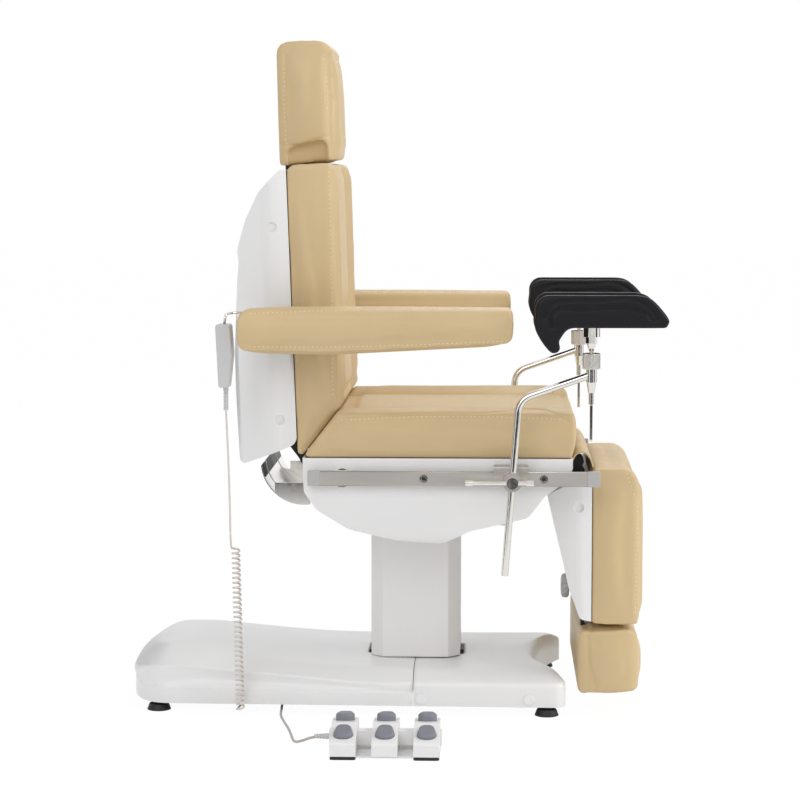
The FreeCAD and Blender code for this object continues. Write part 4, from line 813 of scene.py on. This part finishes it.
def front_outline():
    """The front cover's right edge in plan: its side, a rounded prong and half of the hollow bay."""
    corner_x = FRONT_END - FRONT_CORNER
    corner_y = FRONT_CORNER - cover_half(corner_x)
    reach = BAY_BACK - corner_x
    radius = (corner_y ** 2 + reach ** 2 - FRONT_CORNER ** 2) / (2 * (FRONT_CORNER - reach))
    meet = math.atan2(-corner_y, reach + radius)
    side = np.linspace(JOINT_GAP, corner_x, 36)[:-1]
    turn = np.linspace(-math.pi / 2, meet, 24)
    bay = np.linspace(meet, 0.0, 40)[1:]
    x = np.concatenate((side, corner_x + FRONT_CORNER * np.cos(turn),
                        BAY_BACK + radius * (1 - np.cos(bay))))
    y = np.concatenate((-cover_half(side), corner_y + FRONT_CORNER * np.sin(turn),
                        -radius * np.sin(bay)))
    return x, y


def front_rows():
    """Rows of points from the front cover's lower edge to its middle line, for the right half."""
    x, y = front_outline()
    outline = np.column_stack((x, y, np.full(len(x), COVER_BOTTOM)))
    wall_top = outline * (1, 1, 0) + (0, 0, FRONT_WALL_TOP)
    spine_x = np.minimum(x, FRONT_SPINE_END)
    spine = np.column_stack((spine_x, np.zeros(len(x)), np.full(len(x), FRONT_DECK)))
    edge = outline + (spine - outline) * FRONT_EDGE_SHARE
    edge[:, 2] = DECK_HEIGHTS[0]
    return to_spine(rounded_rows([outline, wall_top, edge, spine], FRONT_CURVES), spine)


def front_cover():
    """The base's front cover: an upright wall, a nearly flat deck and a wide bay between two prongs."""
    obj = shell_from("front_base_cover", front_rows())
    thicken(obj, COVER_WALL)
    cut_column_slot(obj, -SLOT_PAST_JOINT, COLUMN_SLOT[0])
    even_shading(obj)
    dress(obj, "base_cover_front", white_cover)


def turned(name, profile, start, axis, ripple=0.0, ripples=0, segments=96):
    """A turned piece: pairs of distance along the axis and radius, with ribs round it where asked."""
    axis = np.array(axis, float) / np.linalg.norm(axis)
    side = np.cross(axis, (0.0, 0.0, 1.0) if abs(axis[2]) < 0.9 else (1.0, 0.0, 0.0))
    side /= np.linalg.norm(side)
    up = np.cross(axis, side)
    angle = np.linspace(0.0, 2 * math.pi, segments + 1)
    round_way = np.cos(angle)[:, None] * side + np.sin(angle)[:, None] * up
    rows = []
    for along, radius in profile:
        reach = radius * (1 + ripple * np.cos(ripples * angle))
        rows.append(np.array(start) + axis * along + round_way * reach[:, None])
    return grid_piece(name, np.array(rows))


def extra(obj, like, material):
    """A small piece on a node's body, with the given material."""
    only(obj)
    bpy.ops.object.shade_smooth_by_angle(angle=SMOOTH_BELOW)
    obj.data.materials.append(material)
    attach(obj, body_of(nodes[like])[0])


def shell_hole(obj, node, name, place):
    """A shallow round recess in the side of a shell, with its floor."""
    x, y, z = place
    inner = y - math.copysign(HOLE_DEPTH, y)
    bpy.ops.object.select_all(action="DESELECT")
    bpy.ops.mesh.primitive_cylinder_add(vertices=HOLE_SEGMENTS, radius=HOLE_RADIUS, depth=HOLE_DRILL,
                                        location=place, rotation=(math.pi / 2, 0, 0))
    cut_away(obj, bpy.context.view_layer.objects.active)
    wide = HOLE_RADIUS + HOLE_FLOOR
    profile = [(0.0, 0.0), (0.0, wide), (HOLE_FLOOR, wide), (HOLE_FLOOR, 0.0)]
    outward = (0, math.copysign(1.0, y), 0)
    disc = turned(name, profile, (x, inner, z), outward, segments=HOLE_SEGMENTS)
    extra(disc, node, white_cover)


def small_details():
    """Round recesses in the shells, and thin dark hexagons of painted shade in the sockets of the rails'
    screws.
    """
    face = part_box("rail_fixings")[1][1]
    socket = [(0.0, 0.0), (0.0, SOCKET_RADIUS), (SOCKET_DEPTH, SOCKET_RADIUS), (SOCKET_DEPTH, 0.0)]
    for side, sign in SIDES:
        for number, (x, z) in enumerate(BACK_HOLES):
            name = "%sback_recess_%d" % (side, number + 1)
            shell_hole(shells["back_shell"], "back_shell", name, (x, sign * BACK_HOLE_Y, z))
        x, z = LEG_HOLE
        shell_hole(shells["leg_shell"], "leg_shell", side + "leg_recess", (x, sign * LEG_HOLE_Y, z))
        for number, x in enumerate(RAIL_BOLTS):
            name = "%srail_socket_%d" % (side, number + 1)
            place = (x, sign * (face - SOCKET_SINK), RAIL_MIDDLE)
            # A thin dark hexagon on each screw head: painted shade standing in for the socket's depth
            extra(turned(name, socket, place, (0, sign, 0), segments=6), "rail_fixings", dark_paint_and_shade)


def collars():
    """Knurled rings over the sockets' collars."""
    top, wide = COLLAR_HEIGHT, COLLAR_RADIUS
    profile = [(0.0, COLLAR_BORE), (0.0, wide - COLLAR_BEVEL), (COLLAR_BEVEL, wide)]
    profile += [(top * k / COLLAR_ROWS, wide) for k in range(1, COLLAR_ROWS)]
    profile += [(top - COLLAR_BEVEL, wide), (top, wide - COLLAR_BEVEL), (top, COLLAR_MOUTH)]
    x, y, z = COLLAR_PLACE
    for side, sign in SIDES:
        ring = turned(side + "collar", profile, (x, sign * y, z), (0, 0, 1), KNURL_DEPTH,
                      KNURLS, 6 * KNURLS)
        extra(ring, side + "stirrup_rod", collar_steel)


def strain_relief():
    """A tapered, ribbed sleeve where the pedal's cord leaves its housing."""
    start, end = Vector(PEDAL_ROUTE[0]), Vector(PEDAL_ROUTE[1])
    length = (end - start).length
    profile = [(0.0, RELIEF_ENDS[0])]
    for k in range(RELIEF_STEPS + 1):
        share = k / RELIEF_STEPS
        rib = RELIEF_RIB * math.cos(2 * math.pi * RELIEF_RIBS * share)
        profile.append((length * share, RELIEF_RADIUS - RELIEF_TAPER * share + rib))
    profile.append((length, RELIEF_ENDS[1]))
    sleeve = turned("pedal_strain_relief", profile, start, end - start, segments=32)
    extra(sleeve, "pedal_modules", pale_grey)


def paint_shade_inside(obj):
    """Painted shade: the dark material on the inner faces that look towards the back's hinge, where shade
    falls inside the cover.
    """
    obj.data.materials.append(dark_paint_and_shade)
    for face in obj.data.polygons:
        inward = Vector((BACK_PIVOT.x - face.center.x, 0, BACK_PIVOT.z - face.center.z))
        if face.center.z > HINGE_SHADE_ABOVE and inward.normalized().dot(face.normal) > 0.5:
            face.material_index = 1


def knob():
    """The foot extension's knob: a ribbed disc on its shaft."""
    low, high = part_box("foot_knob")
    middle = ((low[1] + high[1]) / 2, (low[2] + high[2]) / 2)
    wide, length = (high[2] - low[2]) / 2, high[0] - low[0]
    profile = [(0.0, 0.0)] + [(along, share * wide) for along, share in KNOB_PROFILE]
    profile += [(KNOB_PROFILE[-1][0], KNOB_SHAFT), (length, KNOB_SHAFT), (length, 0.0)]
    obj = turned("ribbed_knob", profile, (low[0], *middle), (1, 0, 0), KNOB_RIB_DEPTH,
                 KNOB_RIBS, 8 * KNOB_RIBS)
    only(obj)
    bpy.ops.object.shade_smooth_by_angle(angle=SMOOTH_BELOW)
    dress(obj, "foot_knob", knob_grey)


def hard_pieces():
    """Rounded, smoothly shaded copies of the hard nodes that show."""
    rear_cover()
    front_cover()
    for node, edge in (("seat_pan", 0.002), ("back_shell", 0.0015), ("leg_shell", 0.0015),
                       ("pedal_modules", 0.003), ("cover_plugs", 0.0015)):
        shells[node] = finished(node, white_cover, edge, 3)
    sleeve = finished("column_sleeve", white_paint, 0.0015)
    points = points_of(sleeve)
    points[points[:, 2] < points[:, 2].min() + SLEEVE_FOOT, 2] -= SLEEVE_DROP
    set_points(sleeve, points)
    finished("inner_column", white_paint)
    finished("pedal_bar", white_cover, 0.002)
    finished("handset", pale_grey, 0.0015)
    finished("rail_end_caps", cap_grey, 0.001)
    # The hinge cover's inner faces get painted shade
    paint_shade_inside(finished("rear_hinge_cover", chrome, 0.0006))
    finished("side_rails", rail_steel)
    finished("rail_fixings", chrome, 0.0006)
    knob()
    finished("levelling_feet", rubber, 0.0015)
    finished("handset_hook", chrome)
    for number in range(1, 7):
        finished("pedal_button_%d" % number, button_grey, 0.004, 4)
    for side, sign in SIDES:
        for piece, material, edge in (("rail_clamp", rail_steel, 0.001), ("clamp_screw", chrome, 0.0006),
                                      ("stirrup_rod", chrome, 0.0004), ("ball_lever", chrome, 0.0008),
                                      ("stirrup_stem", chrome, 0.0005)):
            finished(side + piece, material, edge)


# Upholstery

def inflate(obj, held, pressure=4.0, frames=16):
    """Blow a pad up as sewn cloth, with the points at its board held."""
    rest = points_of(obj)
    group = obj.vertex_groups.new(name="held")
    group.add([int(i) for i in np.flatnonzero(held(rest))], 1.0, "REPLACE")
    cloth = obj.modifiers.new("Padding", "CLOTH")
    cloth.settings.quality = 4
    cloth.settings.mass = 0.3
    cloth.settings.tension_stiffness = 12.0
    cloth.settings.compression_stiffness = 12.0
    cloth.settings.shear_stiffness = 4.0
    cloth.settings.bending_stiffness = 0.6
    cloth.settings.use_pressure = True
    cloth.settings.uniform_pressure_force = pressure
    cloth.settings.effector_weights.gravity = 0.0
    cloth.settings.vertex_group_mass = "held"
    cloth.collision_settings.use_collision = False
    cloth.point_cache.frame_start = 1
    cloth.point_cache.frame_end = frames
    for number in range(1, frames + 1):
        bpy.context.scene.frame_set(number)
    apply_modifiers(obj)
    bpy.context.scene.frame_set(1)
    obj.vertex_groups.clear()


def soften(obj, times, factor=0.5):
    modifier = obj.modifiers.new("Soften", "SMOOTH")
    modifier.factor = factor
    modifier.iterations = times
    apply_modifiers(obj)


def remesh(obj, size):
    """Rebuild a mesh from small cubes of one size."""
    modifier = obj.modifiers.new("Remesh", "REMESH")
    modifier.mode = "VOXEL"
    modifier.voxel_size = size
    apply_modifiers(obj)


def subdivide(obj):
    modifier = obj.modifiers.new("Smooth", "SUBSURF")
    modifier.levels = 1
    modifier.render_levels = 1
    apply_modifiers(obj)


def pad(node, name, body, held, voxel=0.006, inset=0.003, cap=0.005, rounding=3):
    """A cushion from its solid: remeshed, drawn in a little, blown up and smoothed."""
    obj = merged_copy(node, name)
    remesh(obj, voxel)
    crisp = points_of(obj)
    fixed = held(crisp)
    soften(obj, rounding)
    start = np.where(fixed[:, None], crisp, points_of(obj))
    set_points(obj, start)
    facing = normals_of(obj)
    set_points(obj, start - facing * np.where(fixed, 0.0, inset)[:, None])
    inflate(obj, held)
    soften(obj, 2)
    move = points_of(obj) - start
    out = np.clip((move * facing).sum(axis=1), -PAD_DRAW_IN * cap, cap)
    aside = move - facing * (move * facing).sum(axis=1)[:, None]
    slip = np.maximum(np.linalg.norm(aside, axis=1), 1e-9)
    aside *= np.minimum(1.0, PAD_SLIP * cap / slip)[:, None]
    move = facing * out[:, None] + aside
    set_points(obj, start + np.where(fixed[:, None], 0.0, move))
    subdivide(obj)
    only(obj)
    bpy.ops.object.shade_smooth()
    obj.data.materials.append(upholstery)
    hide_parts(node)
    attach(obj, body)
    return obj


def drop(tree, points, toward):
    """Where lines through these points first meet a surface, and which way it faces there."""
    toward = Vector(toward)
    hits = [tree.ray_cast(Vector(point) - toward * RAY_START, toward) for point in points]
    return [(hit[0], hit[1]) for hit in hits if hit[0] is not None]


def press(obj, places, depth, width):
    """Press a groove into a surface along a row of places."""
    points, normals = points_of(obj), normals_of(obj)
    finder = KDTree(len(points))
    for number, point in enumerate(points):
        finder.insert(point, number)
    finder.balance()
    nearest = np.full(len(points), np.inf)
    for place, facing in places:
        for point, number, far in finder.find_range(place, GROOVE_REACH * width):
            nearest[number] = min(nearest[number], far)
    share = np.where(np.isfinite(nearest), np.exp(-(np.minimum(nearest, 1.0) / width) ** 2), 0.0)
    set_points(obj, points - normals * (depth * share)[:, None])


def stitch_shape():
    """One stitch: a short rounded grain of thread along X."""
    bpy.ops.object.select_all(action="DESELECT")
    bpy.ops.mesh.primitive_uv_sphere_add(segments=6, ring_count=4, radius=0.5)
    seed = bpy.context.view_layer.objects.active
    bpy.ops.transform.resize(value=(STITCH_LENGTH, STITCH_THICK, STITCH_THICK),
                             center_override=(0, 0, 0))
    bpy.ops.object.transform_apply(scale=True)
    shape = points_of(seed)
    faces = [tuple(face.vertices) for face in seed.data.polygons]
    bpy.data.objects.remove(seed)
    return shape, faces


def stitches(name, rows, body):
    """Thread stitches along rows of places on a pad."""
    shape, faces = stitch_shape()
    points, polygons = [], []
    for row in rows:
        places = np.array([place for place, facing in row])
        along = np.gradient(places, axis=0)
        for (place, facing), ahead in zip(row, along):
            facing = np.array(facing)
            ahead = ahead - facing * (ahead @ facing)
            ahead /= max(np.linalg.norm(ahead), 1e-9)
            turn = np.stack((ahead, np.cross(facing, ahead), facing))
            polygons += [tuple(k + len(shape) * len(points) for k in face) for face in faces]
            points.append(shape @ turn + np.array(place) + facing * (0.1 * STITCH_THICK))
    mesh = bpy.data.meshes.new(name)
    mesh.from_pydata(np.concatenate(points).tolist(), [], polygons)
    obj = new_object(name, mesh)
    only(obj)
    bpy.ops.object.shade_smooth()
    obj.data.materials.append(thread)
    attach(obj, body)


def side_lines(line):
    """A line drawn as X and Z, for the right side and the left, with the ways to look at them."""
    corners = [(x, 0.0, z) for x, z in line]
    return [(corners, (0, 1, 0)), (corners, (0, -1, 0))]


def channel_pair(half, line, toward):
    """A channel drawn as X and Z at each side of the middle, with the way to look at it."""
    return [([(x, y, z) for x, z in line], toward) for y in (-half, half)]


def sew(obj, name, body, seams=(), sewn=(), channels=(), depth=0.0016, width=0.0035):
    """Press channels and seams into a pad, and sew rows of stitches along other lines."""
    graph = bpy.context.evaluated_depsgraph_get()
    tree = BVHTree.FromObject(obj, graph)
    grooves = [drop(tree, even_points(corners, 0.002), toward) for corners, toward in [*seams, *sewn]]
    rows = [drop(tree, even_points(corners, STITCH_PITCH), toward) for corners, toward in sewn]
    for corners, toward in channels:
        press(obj, drop(tree, even_points(corners, 0.003), toward), CHANNEL_DEPTH, CHANNEL_WIDTH)
    for number, groove in enumerate(grooves):
        soft = 1.0 if number < len(seams) else SEWN_SHARE
        press(obj, groove, depth * soft, width)
    if sewn:
        tree = BVHTree.FromObject(obj, bpy.context.evaluated_depsgraph_get())
        rows = [[tree.find_nearest(place)[:2] for place, facing in row] for row in rows]
        stitches(name, [row for row in rows if len(row) > 2], body)


def sewing(pads):
    """The seams, channels and stitch rows of every cushion."""
    turn = np.linspace(0.0, 2 * math.pi, 25)
    oval_line = [(0.0, OVAL_HALF * math.cos(t), OVAL_MIDDLE + OVAL_RISE * math.sin(t)) for t in turn]
    sew(pads["head"], "head_stitches", "head",
        side_lines(HEAD_SEAM) + side_lines(HEAD_HEM) + [(oval_line, (-1, 0, 0))],
        side_lines(HEAD_STITCH_REAR) + side_lines(HEAD_STITCH_FRONT))
    sew(pads["back"], "back_stitches", "back", side_lines(BACK_SEAM) + side_lines(BACK_FOOT_SEAM),
        side_lines(BACK_STITCH), channel_pair(BACK_CHANNEL, BACK_CHANNEL_LINE, (-1, 0, 0)))
    sew(pads["seat"], "seat_stitches", "seat", side_lines(SEAT_SEAM),
        side_lines([(x, z - SEAT_STITCH_DROP) for x, z in SEAT_SEAM[:-1]]),
        channel_pair(SEAT_CHANNEL, SEAT_CHANNEL_LINE, (0, 0, -1)))
    sew(pads["leg"], "leg_stitches", "leg", (), side_lines(LEG_STITCH),
        channel_pair(LEG_CHANNEL, LEG_CHANNEL_LINE, (-1, 0, 0)))
    sew(pads["foot"], "foot_stitches", "foot", side_lines(FOOT_EDGE))
    for side, sign in SIDES:
        rows = []
        for line in (ARM_STITCH_TOP, ARM_STITCH_LOW):
            corners = [(x, sign * ARM_MIDDLE, z) for x, z in line]
            rows += [(corners, (0, 1, 0)), (corners, (0, -1, 0))]
        sew(pads[side + "arm"], side + "arm_stitches", side + "armrest", sewn=rows,
            depth=0.0012, width=0.003)


def fill_front(obj):
    """Bring the headrest's upper front out to its real outline."""
    points = points_of(obj)
    heights = np.linspace(HEAD_FRONT_HEIGHTS[0], points[:, 2].max(), 30)
    reach = (heights[1] - heights[0]) * 0.8
    fronts = [points[np.abs(points[:, 2] - z) < reach, 0].max() for z in heights]
    now = np.interp(points[:, 2], heights, fronts) - HEAD_MIDDLE
    wanted = np.interp(points[:, 2], HEAD_FRONT_HEIGHTS, HEAD_FRONTS) - HEAD_MIDDLE
    stretch = np.where(points[:, 2] > HEAD_FRONT_HEIGHTS[0], wanted / np.maximum(now, 0.01), 1.0)
    ahead = points[:, 0] - HEAD_MIDDLE
    points[:, 0] = HEAD_MIDDLE + ahead * np.where(ahead > 0, stretch, 1.0)
    set_points(obj, points)
    soften(obj, 2)


def lower_rolls(obj):
    """Flatten the rolls along the seat's sides a little."""
    points = points_of(obj)
    above = np.maximum(points[:, 2] - SEAT_EDGE_HEIGHT, 0.0)
    points[:, 2] -= ROLL_SINK * above
    set_points(obj, points)


def lean_out(obj, foot, way, by, reach=0.009):
    """Move a sloping face outwards, to close the seam with the next cushion."""
    points = points_of(obj)
    way = np.array(way)
    off = np.abs((points - np.array(foot)) @ way)
    set_points(obj, points + way * (by * np.clip(1.6 * (1 - off / reach), 0.0, 1.0))[:, None])


def near_plane(point, normal, within=0.004):
    """A test for the points that lie on a board's face."""
    point, normal = np.array(point), np.array(normal)
    return lambda points: np.abs((points - point) @ normal) < within


def behind_plane(point, normal):
    point, normal = np.array(point), np.array(normal)
    return lambda points: (points - point) @ normal < 0.0


def no_board(points):
    return np.zeros(len(points), bool)


def cushions():
    """Every cushion as a pad on its board, with the seat's seam to the back closed."""
    lean = np.array((math.cos(BACK_LEAN), 0.0, math.sin(BACK_LEAN)))
    back_face = np.array(BACK_PIVOT) + lean * BACK_BOARD
    head_face = back_face - lean * HEAD_SETBACK
    pads = {}
    pads["seat"] = pad("seat_cushion", "seat_pad", "seat", near_plane((0, 0, SEAT_BOARD), (0, 0, 1)),
                       cap=0.003)
    pads["back"] = pad("back_cushion", "back_pad", "back", near_plane(back_face, lean), cap=0.003)
    lower_rolls(pads["seat"])
    lean_out(pads["seat"], SEAT_REAR_FOOT, SEAT_REAR_WAY, SEAM_CLOSING)
    lean_out(pads["back"], BACK_LOW_FOOT, [-part for part in SEAT_REAR_WAY], SEAM_CLOSING)
    pads["head"] = pad("headrest_cushion", "head_pad", "head", behind_plane(head_face, lean),
                       voxel=0.005, inset=0.002, cap=0.0025)
    fill_front(pads["head"])
    pads["leg"] = pad("leg_cushion", "leg_pad", "leg", near_plane((LEG_BOARD, 0, 0), (1, 0, 0)))
    pads["foot"] = pad("foot_cushion", "foot_pad", "foot", behind_plane((FOOT_BOARD, 0, 0), (1, 0, 0)),
                       voxel=0.005, inset=0.002, cap=0.004)
    for side, sign in SIDES:
        pads[side + "arm"] = pad(side + "armrest", side + "arm_pad", side + "armrest", no_board,
                                 voxel=0.0045, inset=0.002, cap=0.004)
    return pads


def knee_strip():
    """The soft strip over the gap at the knees: an arch with slight waves across it."""
    arch = even_points([(x, 0.0, z) for x, z in KNEE_LINE], 0.003)
    across = np.linspace(-KNEE_HALF, KNEE_HALF, 95)
    broad, fine = KNEE_RIPPLES
    waves = np.cos(across * broad) + 0.6 * np.cos(across * fine + 1.0) - 1.0
    rows = []
    for number, (x, z) in enumerate(arch[:, (0, 2)]):
        sag = math.sin(math.pi * number / (len(arch) - 1))
        rows.append(np.column_stack((np.full(len(across), x), across, z + KNEE_WAVE * sag * waves)))
    strip = grid_piece("knee_strip", np.array(rows))
    thicken(strip, KNEE_THICK)
    only(strip)
    bpy.ops.object.shade_smooth_by_angle(angle=math.radians(50))
    strip.data.materials.append(upholstery)
    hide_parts("knee_flap")
    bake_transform(strip, "seat", "leg", start=(0.306, 0, 0.5), end=(0.352, 0, 0.5))


def bulge(obj, start, end):
    """Round a straight slope outwards, seen from the side, with the outside on the left of its line."""
    points = points_of(obj)
    start, end = np.array(start), np.array(end)
    length = np.linalg.norm(end - start)
    along = (end - start) / length
    out = np.array((-along[1], along[0]))
    off = points[:, (0, 2)] - start
    t = np.clip(off @ along / length, 0.0, 1.0)
    rise = BULGE_RISE * 4 * t * (1 - t) * np.clip(1 + (off @ out) / BULGE_REACH, 0.0, 1.0)
    points[:, 0] += rise * out[0]
    points[:, 2] += rise * out[1]
    set_points(obj, points)


def stirrups():
    """The leg holders' padded troughs, with rounded ends and creased sides."""
    for side, sign in SIDES:
        obj = merged_copy(side + "stirrup_pad", side + "knee_trough")
        remesh(obj, TROUGH_VOXEL)
        for start, end in STIRRUP_BULGES:
            bulge(obj, start, end)
        soften(obj, 6)
        subdivide(obj)
        tree = BVHTree.FromObject(obj, bpy.context.evaluated_depsgraph_get())
        for crease in STIRRUP_CREASES:
            line = even_points([(x, sign * STIRRUP_Y, z) for x, z in crease], 0.0015)
            for toward in ((0, 1, 0), (0, -1, 0)):
                press(obj, drop(tree, line, toward), CREASE_DEPTH, CREASE_WIDTH)
        only(obj)
        bpy.ops.object.shade_smooth()
        obj.data.materials.append(stirrup_skin)
        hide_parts(side + "stirrup_pad")
        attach(obj, side + "stirrup")


# Floor, light and camera

def shown_to_camera(tree):
    """1 for rays from the camera, from polished surfaces and through glass, else 0."""
    path = tree.nodes.new("ShaderNodeLightPath")
    total = path.outputs["Is Camera Ray"]
    for name in ("Is Glossy Ray", "Is Transmission Ray"):
        add = tree.nodes.new("ShaderNodeMath")
        add.operation = "MAXIMUM"
        tree.links.new(total, add.inputs[0])
        tree.links.new(path.outputs[name], add.inputs[1])
        total = add.outputs["Value"]
    return total


def white_room():
    world = bpy.data.worlds.new("white_room")
    bpy.context.scene.world = world
    world.use_nodes = True
    tree = world.node_tree
    soft = tree.nodes["Background"]
    soft.inputs["Color"].default_value = (1, 1, 1, 1)
    soft.inputs["Strength"].default_value = AMBIENT
    plain = tree.nodes.new("ShaderNodeBackground")
    plain.inputs["Color"].default_value = (1, 1, 1, 1)
    plain.inputs["Strength"].default_value = 1.0
    mix = tree.nodes.new("ShaderNodeMixShader")
    tree.links.new(shown_to_camera(tree), mix.inputs["Fac"])
    tree.links.new(soft.outputs["Background"], mix.inputs[1])
    tree.links.new(plain.outputs["Background"], mix.inputs[2])
    tree.links.new(mix.outputs["Shader"], tree.nodes["World Output"].inputs["Surface"])


def floor():
    bpy.ops.object.select_all(action="DESELECT")
    bpy.ops.mesh.primitive_plane_add(size=FLOOR_SIZE, location=(0, 0, -FLOOR_DROP))
    plane = bpy.context.view_layer.objects.active
    plane.name = "floor"
    material = bpy.data.materials.new("pale_floor")
    material.use_nodes = True
    tree = material.node_tree
    shader = tree.nodes["Principled BSDF"]
    shader.inputs["Base Color"].default_value = (FLOOR_WHITE, FLOOR_WHITE, FLOOR_WHITE, 1)
    shader.inputs["Roughness"].default_value = 0.9
    glow = tree.nodes.new("ShaderNodeEmission")
    glow.inputs["Strength"].default_value = FLOOR_STRENGTH
    share = tree.nodes.new("ShaderNodeMath")
    share.operation = "MULTIPLY"
    share.inputs[1].default_value = FLOOR_GLOW
    tree.links.new(shown_to_camera(tree), share.inputs[0])
    mix = tree.nodes.new("ShaderNodeMixShader")
    tree.links.new(share.outputs["Value"], mix.inputs["Fac"])
    tree.links.new(shader.outputs["BSDF"], mix.inputs[1])
    tree.links.new(glow.outputs["Emission"], mix.inputs[2])
    tree.links.new(mix.outputs["Shader"], tree.nodes["Material Output"].inputs["Surface"])
    plane.data.materials.append(material)


def soft_light(name, place, target, size, power):
    lamp = bpy.data.lights.new(name, "AREA")
    lamp.shape = "RECTANGLE"
    lamp.size, lamp.size_y = size
    lamp.energy = power
    obj = bpy.data.objects.new(name, lamp)
    bpy.context.scene.collection.objects.link(obj)
    obj.location = place
    obj.rotation_euler = (Vector(target) - Vector(place)).to_track_quat("-Z", "Y").to_euler()


def dark_card(name, place, size):
    """A dark panel that only polished metal sees, for its dark edges."""
    bpy.ops.object.select_all(action="DESELECT")
    bpy.ops.mesh.primitive_plane_add(size=1, location=place)
    card = bpy.context.view_layer.objects.active
    card.name = name
    card.scale = (size[0], size[1], 1)
    card.rotation_euler = (CARD_TARGET - Vector(place)).to_track_quat("Z", "Y").to_euler()
    material = bpy.data.materials.new(name)
    material.use_nodes = True
    shader = material.node_tree.nodes["Principled BSDF"]
    shader.inputs["Base Color"].default_value = (CARD_DARK, CARD_DARK, CARD_DARK, 1)
    card.data.materials.append(material)
    card.visible_camera = False
    card.visible_diffuse = False
    card.visible_shadow = False


def studio():
    white_room()
    floor()
    for name, (place, target, size, power) in LAMPS.items():
        soft_light(name, place, target, size, power)
    for name, (place, size) in DARK_CARDS.items():
        dark_card(name, place, size)
    lens = bpy.data.cameras.new("camera")
    lens.lens = CAMERA_LENS
    lens.sensor_width = SENSOR
    camera = bpy.data.objects.new("camera", lens)
    bpy.context.scene.collection.objects.link(camera)
    ahead = Vector((-math.sin(CAMERA_YAW) * math.cos(CAMERA_PITCH),
                    math.cos(CAMERA_YAW) * math.cos(CAMERA_PITCH), -math.sin(CAMERA_PITCH)))
    camera.location = CAMERA_PLACE
    camera.rotation_euler = ahead.to_track_quat("-Z", "Y").to_euler()
    bpy.context.scene.camera = camera
    bpy.context.scene.view_settings.view_transform = "Standard"


paint_nodes()
studio()
handset_cord()
foot_control_cord()
hard_pieces()
small_details()
collars()
strain_relief()
pads = cushions()
sewing(pads)
knee_strip()
stirrups()
